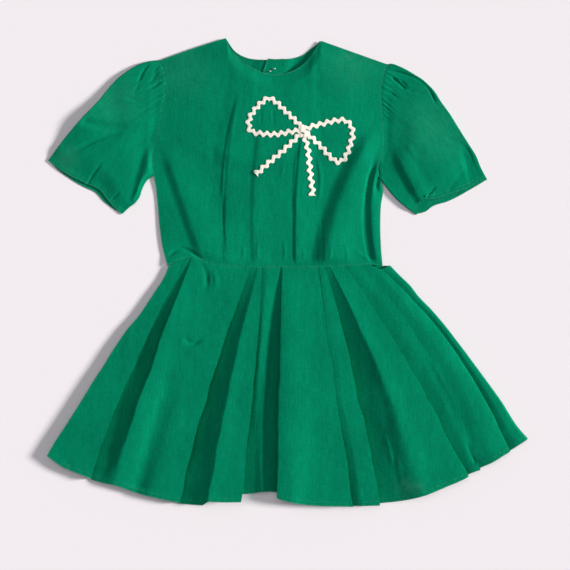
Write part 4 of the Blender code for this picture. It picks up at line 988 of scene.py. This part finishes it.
def add(tree, kind, inputs=(), **settings):
    """Add a shader node with its settings, its values and its links.

    A node given as a value links its first output.
    """
    made = tree.nodes.new("ShaderNode" + kind)
    for key, value in settings.items():
        setattr(made, key, value)
    for socket, value in dict(inputs).items():
        if isinstance(value, bpy.types.Node):
            value = value.outputs[0]
        if isinstance(value, bpy.types.NodeSocket):
            tree.links.new(value, made.inputs[socket])
        else:
            made.inputs[socket].default_value = value
    return made


def scale_of(size):
    """Scale of a pattern, from the size of its marks in mm."""
    return 1.0 / (size * MM)


def make_cotton(tree):
    """Dyed cotton in plain weave, washed many times.

    To the eye it is matt and evenly green, with fine slubs along its threads, paler where hems
    and seams have rubbed, and puckered along its stitching.
    """
    sizes, colours = bpy.context.scene.dress_sizes, bpy.context.scene.dress_colours
    grain = add(tree, "UVMap", uv_map="grain")
    place = add(tree, "TexCoord").outputs["Object"]
    hem, seam, worn = (add(tree, "Attribute", attribute_name=key).outputs["Fac"]
                       for key in ("hem_gap", "seam_gap", "worn"))

    # Slubs: thick places in the yarn, down and across the cloth, 1.5 mm wide, 10 to 20 mm long
    slubs = []
    for wide, long in ((1.3, 18), (11, 1.5)):
        yarn = add(tree, "Mapping", {"Vector": grain,
                                     "Scale": (scale_of(wide), scale_of(long), 1.0)})
        slubs.append(add(tree, "TexNoise", zip(NOISE, (yarn, 1.0, 3.0, 0.6))))
    slub = add(tree, "Math", {0: slubs[1], 1: 0.6, 2: slubs[0]}, operation="MULTIPLY_ADD")

    # Weave: threads are 0.4 mm apart, too fine to show, so they are drawn 1.1 mm apart
    warp, weft = (add(tree, "TexWave", {"Vector": grain, "Scale": WAVE_LENGTH * scale_of(1.1)},
                      bands_direction=way).outputs["Fac"] for way in "XY")
    woven = add(tree, "Math", {0: warp, 1: weft}, operation="MAXIMUM")

    # Flecks: lint and short pale fibres, under 1 mm
    flecks = add(tree, "TexNoise", zip(NOISE, (place, scale_of(0.9), 2.0, 0.7)))
    flecks = add(tree, "MapRange", zip(RANGE, (flecks, 0.3, 0.7, 0.8, 1.2)))

    # Streaks: bands down the cloth where it has faded more, a few cm wide
    bands = add(tree, "Mapping", {"Vector": grain, "Scale": (scale_of(11), scale_of(120), 1.0)})
    streaks = add(tree, "TexNoise", zip(NOISE, (bands, 1.0, 3.0, 0.6)))
    streaks = add(tree, "MapRange", zip(RANGE, (streaks, 0.3, 0.7, 0.94, 1.06)))

    # Mottle: uneven dye over hand-sized areas
    mottle = add(tree, "TexNoise", zip(NOISE, (place, scale_of(70), 4.0, 0.55)))
    mottle = add(tree, "MapRange", zip(RANGE, (mottle, 0.3, 0.7, 0.9, 1.1)))

    # Fading: a thin line on the hem's fold and on each seam, the stitches, and the worn places
    fold_edge = add(tree, "MapRange", zip(RANGE, (hem, 0.0, 2.2 * MM, 0.6, 0.0)))
    seam_edge = add(tree, "MapRange", zip(RANGE, (seam, 0.0, 2.6 * MM, 0.2, 0.0)))
    off_stitch = add(tree, "Math", {0: hem, 1: sizes.hem}, operation="SUBTRACT")
    off_stitch = add(tree, "Math", {0: off_stitch}, operation="ABSOLUTE")
    stitch_line = add(tree, "MapRange", zip(RANGE, (off_stitch, 0.3 * MM, 1.2 * MM, 1.0, 0.0)))
    dashes = add(tree, "TexNoise", zip(NOISE, (place, 1.0 / sizes.stitch, 0.0)))
    dashes = add(tree, "MapRange", zip(RANGE, (dashes, 0.42, 0.58)))
    stitches = add(tree, "Math", {0: stitch_line, 1: dashes}, operation="MULTIPLY")
    rub = add(tree, "TexNoise", zip(NOISE, (place, scale_of(12), 5.0, 0.7)))
    rub = add(tree, "MapRange", zip(RANGE, (rub, 0.35, 0.7, 0.25, 1.0)))
    edges = add(tree, "Math", {0: fold_edge, 1: seam_edge}, operation="MAXIMUM")
    for mark, strength in ((stitches, 0.35), (worn, 0.6)):
        edges = add(tree, "Math", {0: mark, 1: strength, 2: edges}, operation="MULTIPLY_ADD")
    fading = add(tree, "Math", {0: edges, 1: rub}, operation="MULTIPLY", use_clamp=True)

    shade = add(tree, "MapRange", zip(RANGE, (slub, 0.45, 1.15, 0.76, 1.24)))
    for part in (mottle, flecks, streaks):
        shade = add(tree, "Math", {0: shade, 1: part}, operation="MULTIPLY")
    base = add(tree, "Mix", {"Factor": fading, "A": tuple(colours.cotton),
                             "B": tuple(colours.faded)}, data_type="RGBA")
    shaded = add(tree, "VectorMath", {0: base.outputs["Result"], "Scale": shade},
                 operation="SCALE")

    # Relief: puckers beside the stitching, threads 0.02 mm deep, slubs 0.16 and crinkles 0.6 mm
    pucker = add(tree, "TexNoise", zip(NOISE, (place, scale_of(7), 2.0)))
    by_hem = add(tree, "MapRange", zip(RANGE, (hem, 4 * MM, 12 * MM, 0.9 * MM, 0.0)))
    relief = add(tree, "Math", {0: pucker, 1: by_hem}, operation="MULTIPLY")
    crinkle = add(tree, "TexNoise", zip(NOISE, (place, scale_of(16), 3.0, 0.55)))
    for height, depth in ((woven, 0.02), (slub, 0.16), (crinkle, 0.6)):
        relief = add(tree, "Math", {0: height, 1: depth * MM, 2: relief},
                     operation="MULTIPLY_ADD")
    normal = add(tree, "Bump", {"Height": relief, "Distance": 1.0, "Strength": 1.0})
    return add(tree, "BsdfPrincipled", {
        "Base Color": shaded, "Normal": normal, "Roughness": 0.9, "Specular IOR Level": 0.02,
        "Sheen Weight": 0.02, "Sheen Roughness": 0.5, "Sheen Tint": colour("#7FD9B4")})


def make_braid_cotton(tree):
    """Woven zigzag braid of bleached cotton.

    To the eye it is cream and matt, with fine slanting ribs; painted shade darkens the ribs'
    hollows, and it is a little soiled in places.
    """
    grain = add(tree, "UVMap", uv_map="grain")
    turned = add(tree, "Mapping", {"Vector": grain, "Rotation": (0.0, 0.0, radians(35))})
    # Ribs: threads are 0.5 mm apart, drawn 1.2 mm apart so that they show
    ribs = add(tree, "TexWave", {"Vector": turned, "Scale": WAVE_LENGTH * scale_of(1.2),
                                 "Distortion": 1.0, "Detail": 2.0}).outputs["Fac"]
    place = add(tree, "TexCoord").outputs["Object"]
    soil = add(tree, "TexNoise", zip(NOISE, (place, scale_of(9), 4.0)))
    # Painted shade: the colour follows the ribs and is darker in their hollows, where the bump
    # sinks; the noise adds uneven soil
    shade = add(tree, "Math", {0: ribs, 1: 0.45, 2: soil}, operation="MULTIPLY_ADD")
    tone = add(tree, "MapRange", zip(RANGE, (shade, 0.35, 0.95, 0.84, 1.04)))
    base = tuple(bpy.context.scene.dress_colours.braid)
    tinted = add(tree, "VectorMath", {0: base[:3], "Scale": tone}, operation="SCALE")
    relief = add(tree, "Math", {0: ribs, 1: 0.12 * MM}, operation="MULTIPLY")
    normal = add(tree, "Bump", {"Height": relief, "Distance": 1.0})
    return add(tree, "BsdfPrincipled", {
        "Base Color": tinted, "Normal": normal, "Roughness": 0.85, "Specular IOR Level": 0.2,
        "Sheen Weight": 0.1})


def make_thread(tree):
    """Spun white sewing thread, waxed a little, so slightly bright."""
    grain = add(tree, "UVMap", uv_map="grain")
    twist = add(tree, "TexWave", {"Vector": grain, "Scale": WAVE_LENGTH * scale_of(0.8)},
                bands_direction="DIAGONAL").outputs["Fac"]
    tone = add(tree, "MapRange", {"Value": twist, "To Min": 0.8, "To Max": 1.0})
    base = tuple(bpy.context.scene.dress_colours.thread)
    tinted = add(tree, "VectorMath", {0: base[:3], "Scale": tone}, operation="SCALE")
    return add(tree, "BsdfPrincipled", {"Base Color": tinted, "Roughness": 0.6})


def make_button_plastic(tree):
    """Moulded polyester button, dyed through: smooth and softly shiny, with faint swirls."""
    place = add(tree, "TexCoord").outputs["Object"]
    swirl = add(tree, "TexNoise", {"Vector": place, "Scale": scale_of(4), "Detail": 3.0,
                                   "Distortion": 1.5})
    tone = add(tree, "MapRange", {"Value": swirl, "To Min": 0.8, "To Max": 1.2})
    base = tuple(bpy.context.scene.dress_colours.button)
    tinted = add(tree, "VectorMath", {0: base[:3], "Scale": tone}, operation="SCALE")
    return add(tree, "BsdfPrincipled", {"Base Color": tinted, "Roughness": 0.3, "IOR": 1.55})


def make_sheet(tree):
    """Plain white cotton sheet below the dress, matt and a little cool."""
    place = add(tree, "TexCoord").outputs["Object"]
    fine = add(tree, "TexNoise", zip(NOISE, (place, scale_of(3), 2.0)))
    normal = add(tree, "Bump", {"Height": fine, "Distance": 0.1 * MM})
    return add(tree, "BsdfPrincipled", {
        "Base Color": tuple(bpy.context.scene.dress_colours.sheet), "Normal": normal,
        "Roughness": 0.9, "Specular IOR Level": 0.1})


MAKERS = {
    "green_cotton_plain_weave": make_cotton,
    "cream_cotton_zigzag_braid": make_braid_cotton,
    "white_spun_thread": make_thread,
    "green_moulded_polyester": make_button_plastic,
    "white_cotton_sheet": make_sheet,
}


def material_of(name):
    """The named material, made at its first use."""
    if name not in bpy.data.materials:
        material = bpy.data.materials.new(name)
        material.use_nodes = True
        tree = material.node_tree
        tree.nodes.clear()
        add(tree, "OutputMaterial", {"Surface": MAKERS[name](tree)})
    return bpy.data.materials[name]


class DRESS_OT_bodice_front(bpy.types.Operator):
    """Make the front of the bodice, with its darts and folds."""
    bl_idname = "dress.bodice_front"
    bl_label = "Bodice front"

    def execute(self, context):
        def marks(across, up, spots):
            top = gap_from(spots, "high")
            neck = (across > NECK_SHARES[0]) & (across < NECK_SHARES[1])
            hem = np.where(neck & (top < FOLDED_EDGE), top, FAR)
            seam = np.minimum(gap_from(spots, "left"), gap_from(spots, "right"))
            seam = np.minimum(seam, gap_from(spots, "low"))
            seam = np.where(neck, seam, np.minimum(seam, top))
            return hem, seam, scuffed(spots), spots[..., :2]

        mesh = laid("bodice_front_cloth", BODICE_FRONT_GRID, bodice_front_surface, marks)
        made = cloth("bodice_front_cloth", mesh, "bodice_front")
        return {"FINISHED"}


class DRESS_OT_bodice_backs(bpy.types.Operator):
    """Make the two backs of the bodice, which lap and button at the centre."""
    bl_idname = "dress.bodice_backs"
    bl_label = "Bodice backs"

    def execute(self, context):
        def marks(across, up, spots):
            top = gap_from(spots, "high")
            inner = gap_from(spots, "right" if side == "left" else "left")
            shoulder = across < BACK_SHOULDER if side == "left" else across > BACK_SHOULDER
            hem = np.where(shoulder, inner, np.minimum(inner, top))
            hem = np.where(hem < FOLDED_EDGE, hem, FAR)
            seam = np.minimum(gap_from(spots, side), gap_from(spots, "low"))
            return hem, seam, scuffed(spots) * BACK_WEAR, spots[..., :2]

        for side in ("left", "right"):
            name = "bodice_back_" + side
            mesh = laid(name + "_cloth", BODICE_BACK_GRID, bodice_back_surface(side), marks,
                        outside_down=True)
            made = cloth(name + "_cloth", mesh, name)
        return {"FINISHED"}


class DRESS_OT_sleeves(bpy.types.Operator):
    """Make the two short sleeves, gathered at the cap."""
    bl_idname = "dress.sleeves"
    bl_label = "Sleeves"

    def execute(self, context):
        def marks(across, up, spots):
            grain = np.stack([gap_from(spots, "left"), gap_from(spots, "low")], axis=-1)
            return gap_from(spots, "high"), gap_from(spots, "low"), scuffed(spots), grain

        for side in ("left", "right"):
            name = "sleeve_" + side
            surface, around = sleeve_surface(side)
            mesh = laid(name + "_cloth", (around, SLEEVE_ALONG), surface, marks, closed=True,
                        outside_down=True)
            made = cloth(name + "_cloth", mesh, name)
        return {"FINISHED"}


class DRESS_OT_skirt(bpy.types.Operator):
    """Make the flared skirt, front and back."""
    bl_idname = "dress.skirt"
    bl_label = "Skirt"

    def execute(self, context):
        def marks(across, up, spots):
            seam = np.minimum(gap_from(spots, "left"), gap_from(spots, "high"))
            return gap_from(spots, "low"), seam, scuffed(spots), spots[..., :2]

        mesh = laid("skirt_front_cloth", SKIRT_FRONT_GRID, skirt_front_surface, marks)
        front = cloth("skirt_front_cloth", mesh, "skirt_front")
        mesh = laid("skirt_back_cloth", SKIRT_BACK_GRID, skirt_back_surface, marks,
                    outside_down=True)
        back = cloth("skirt_back_cloth", mesh, "skirt_back")
        return {"FINISHED"}


class DRESS_OT_bow(bpy.types.Operator):
    """Lay the strips of zigzag braid on the bodice front."""
    bl_idname = "dress.bow"
    bl_label = "Braid bow"

    def execute(self, context):
        sizes = context.scene.dress_sizes
        band, wave, pitch = (size / MM for size in (sizes.braid_band, sizes.braid_wave,
                                                    sizes.braid_pitch))
        shape = bmesh.new()
        shape.from_mesh(bpy.data.objects["bodice_front_cloth"].data)
        tree = BVHTree.FromBMesh(shape)
        shape.free()
        for name, table in BRAID_STRIPS.items():
            line = curve(table)
            run = length_of(line, 200)
            waves = max(round(run / pitch), 1)

            def surface(u, v):
                middle = line(u)
                side = inset(line, u, -1.0) - middle
                swing = np.sin(2 * pi * waves * u)
                swing = swing * (1.0 + ROUNDED - ROUNDED * swing ** 2)
                splay = 1.0 + FRAY * near((1.0 - u) * run, FRAY_LENGTH) * ("tail" in name)
                offset = wave * swing + band * splay * (v - 0.5)
                spots = middle + side * offset[..., None]
                crown = BRAID_LAYERS[name] + BRAID_CROWN * (1 - (2 * v - 1) ** 4)
                under = np.empty(u.shape)
                for cell in np.ndindex(u.shape):
                    hit = tree.ray_cast(above(spots[cell]), Vector((0.0, 0.0, -1.0)))[0]
                    under[cell] = hit.z / MM
                return np.concatenate([spots, (under + crown)[..., None]], axis=-1)

            def marks(across, up, spots):
                far = np.full(across.shape, FAR)
                grain = np.stack([across * run, up * band], axis=-1)
                return far, far, np.zeros(across.shape), grain

            grid = (waves * BRAID_STEPS_PER_WAVE, BRAID_ACROSS)
            mesh = laid(name + "_strip", grid, surface, marks)
            made = piece(name + "_strip", mesh, "cream_cotton_zigzag_braid", name)
            walled(made, "braid thickness", BRAID_WALL)
        return {"FINISHED"}


def moulded_button(name, low, high):
    """A round button that fills a box, spun from its section."""
    middle, radius, depth = (low + high) / 2, (high.x - low.x) / 2, high.z - low.z
    shape = bmesh.new()
    verts = [shape.verts.new((radius * r, 0.0, depth * z)) for r, z in BUTTON_SECTION]
    line = [shape.edges.new(pair) for pair in zip(verts, verts[1:])]
    bmesh.ops.spin(shape, geom=verts + line, cent=(0, 0, 0), axis=(0, 0, 1), angle=2 * pi,
                   steps=BUTTON_STEPS, use_merge=True, use_duplicate=False)
    bmesh.ops.remove_doubles(shape, verts=shape.verts, dist=WELD / 2)
    bmesh.ops.recalc_face_normals(shape, faces=shape.faces)
    bmesh.ops.translate(shape, vec=(middle.x, middle.y, low.z), verts=shape.verts)
    mesh = finished(shape, name)
    mesh.shade_smooth()
    return mesh


def tube(points, radius):
    """A round thread along a few points, closed at both ends."""
    shape = bmesh.new()
    made = bmesh.ops.create_circle(shape, segments=THREAD_SIDES, radius=radius, cap_ends=True)
    ring = made["verts"]
    run = points[1] - points[0]
    bmesh.ops.rotate(shape, verts=ring, matrix=run.to_track_quat("Z", "Y").to_matrix())
    bmesh.ops.translate(shape, verts=ring, vec=points[0])
    face = next(iter(shape.faces))
    for here, there in zip(points, points[1:]):
        out = bmesh.ops.extrude_face_region(shape, geom=[face])["geom"]
        face = next(item for item in out if isinstance(item, bmesh.types.BMFace))
        moved = [item for item in out if isinstance(item, bmesh.types.BMVert)]
        bmesh.ops.translate(shape, verts=moved, vec=there - here)
    bmesh.ops.recalc_face_normals(shape, faces=shape.faces)
    shape.loops.layers.uv.new("grain")
    mesh = finished(shape, "thread")
    mesh.shade_smooth()
    return mesh


class DRESS_OT_fastenings(bpy.types.Operator):
    """Make the back's buttons and the two white thread ends in the neck."""
    bl_idname = "dress.fastenings"
    bl_label = "Buttons and thread"

    def execute(self, context):
        for number in range(1, len(BUTTON_HEIGHTS) + 1):
            node = "button_" + str(number)
            low, high = (Vector(corner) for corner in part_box(node))
            mesh = moulded_button(node + "_moulded", low, high)
            piece(node + "_moulded", mesh, "green_moulded_polyester", node)
        back = bpy.data.objects["bodice_back_right_cloth"]
        for number, table in enumerate(THREADS, start=1):
            hits = [back.ray_cast(above(spot), Vector((0, 0, -1)))[1] for spot in table]
            mesh = tube([hit + Vector((0, 0, THREAD_LIFT)) for hit in hits], THREAD_RADIUS)
            piece("thread_end_" + str(number), mesh, "white_spun_thread")
        return {"FINISHED"}


class DRESS_OT_stage(bpy.types.Operator):
    """Make the sheet below, the soft light and the camera straight above."""
    bl_idname = "dress.stage"
    bl_label = "Stage"

    def execute(self, context):
        shape = bmesh.new()
        bmesh.ops.create_grid(shape, x_segments=2, y_segments=2, size=SHEET_HALF)
        bmesh.ops.translate(shape, vec=(0.0, 0.0, -SHEET_DROP), verts=shape.verts)
        mesh = finished(shape, "floor")
        mesh.materials.append(material_of("white_cotton_sheet"))
        floor = placed("floor", mesh)

        for name, energy, angle, hex_value, way in LIGHTS:
            data = bpy.data.lights.new(name, "SUN")
            data.energy = energy
            data.angle = radians(angle)
            data.color = colour(hex_value)[:3]
            light = placed(name, data)
            light.rotation_euler = Vector(way).to_track_quat("Z", "Y").to_euler()

        world = bpy.data.worlds.new("room")
        world.use_nodes = True
        sockets = world.node_tree.nodes["Background"].inputs
        sockets["Color"].default_value = colour(ROOM_TINT)
        sockets["Strength"].default_value = ROOM_STRENGTH
        context.scene.world = world
        context.scene.view_settings.view_transform = "Standard"

        data = bpy.data.cameras.new("camera")
        data.sensor_width = SENSOR
        data.lens = SENSOR * CAMERA_PLACE[2] / CAMERA_VIEW
        camera = placed("camera", data)
        camera.location = Vector(CAMERA_PLACE) + Vector(ORIGIN)
        context.scene.camera = camera
        return {"FINISHED"}


class DRESS_PT_panel(bpy.types.Panel):
    """The dress's sizes and colours, and a button for each group of pieces."""
    bl_idname = "DRESS_PT_panel"
    bl_label = "Swing dress"
    bl_space_type = "VIEW_3D"
    bl_region_type = "UI"
    bl_category = "Dress"

    def draw(self, context):
        for group in (context.scene.dress_sizes, context.scene.dress_colours):
            for key in group.__annotations__:
                self.layout.prop(group, key)
        for operator in OPERATORS:
            self.layout.operator(operator.bl_idname)


OPERATORS = (DRESS_OT_stage, DRESS_OT_skirt, DRESS_OT_bodice_backs, DRESS_OT_bodice_front,
             DRESS_OT_sleeves, DRESS_OT_bow, DRESS_OT_fastenings)
CLASSES = (DressSizes, DressColours) + OPERATORS + (DRESS_PT_panel,)


def register():
    """Register the classes, and give the scene its sizes and colours."""
    for item in CLASSES:
        bpy.utils.register_class(item)
    bpy.types.Scene.dress_sizes = PointerProperty(type=DressSizes)
    bpy.types.Scene.dress_colours = PointerProperty(type=DressColours)


def unregister():
    """Undo what register did."""
    del bpy.types.Scene.dress_colours
    del bpy.types.Scene.dress_sizes
    for item in reversed(CLASSES):
        bpy.utils.unregister_class(item)


def main():
    """Make the stage and every piece, in order."""
    register()
    bpy.ops.dress.stage()
    bpy.ops.dress.skirt()
    bpy.ops.dress.bodice_backs()
    bpy.ops.dress.bodice_front()
    bpy.ops.dress.sleeves()
    bpy.ops.dress.bow()
    bpy.ops.dress.fastenings()


if __name__ == "__main__":
    main()
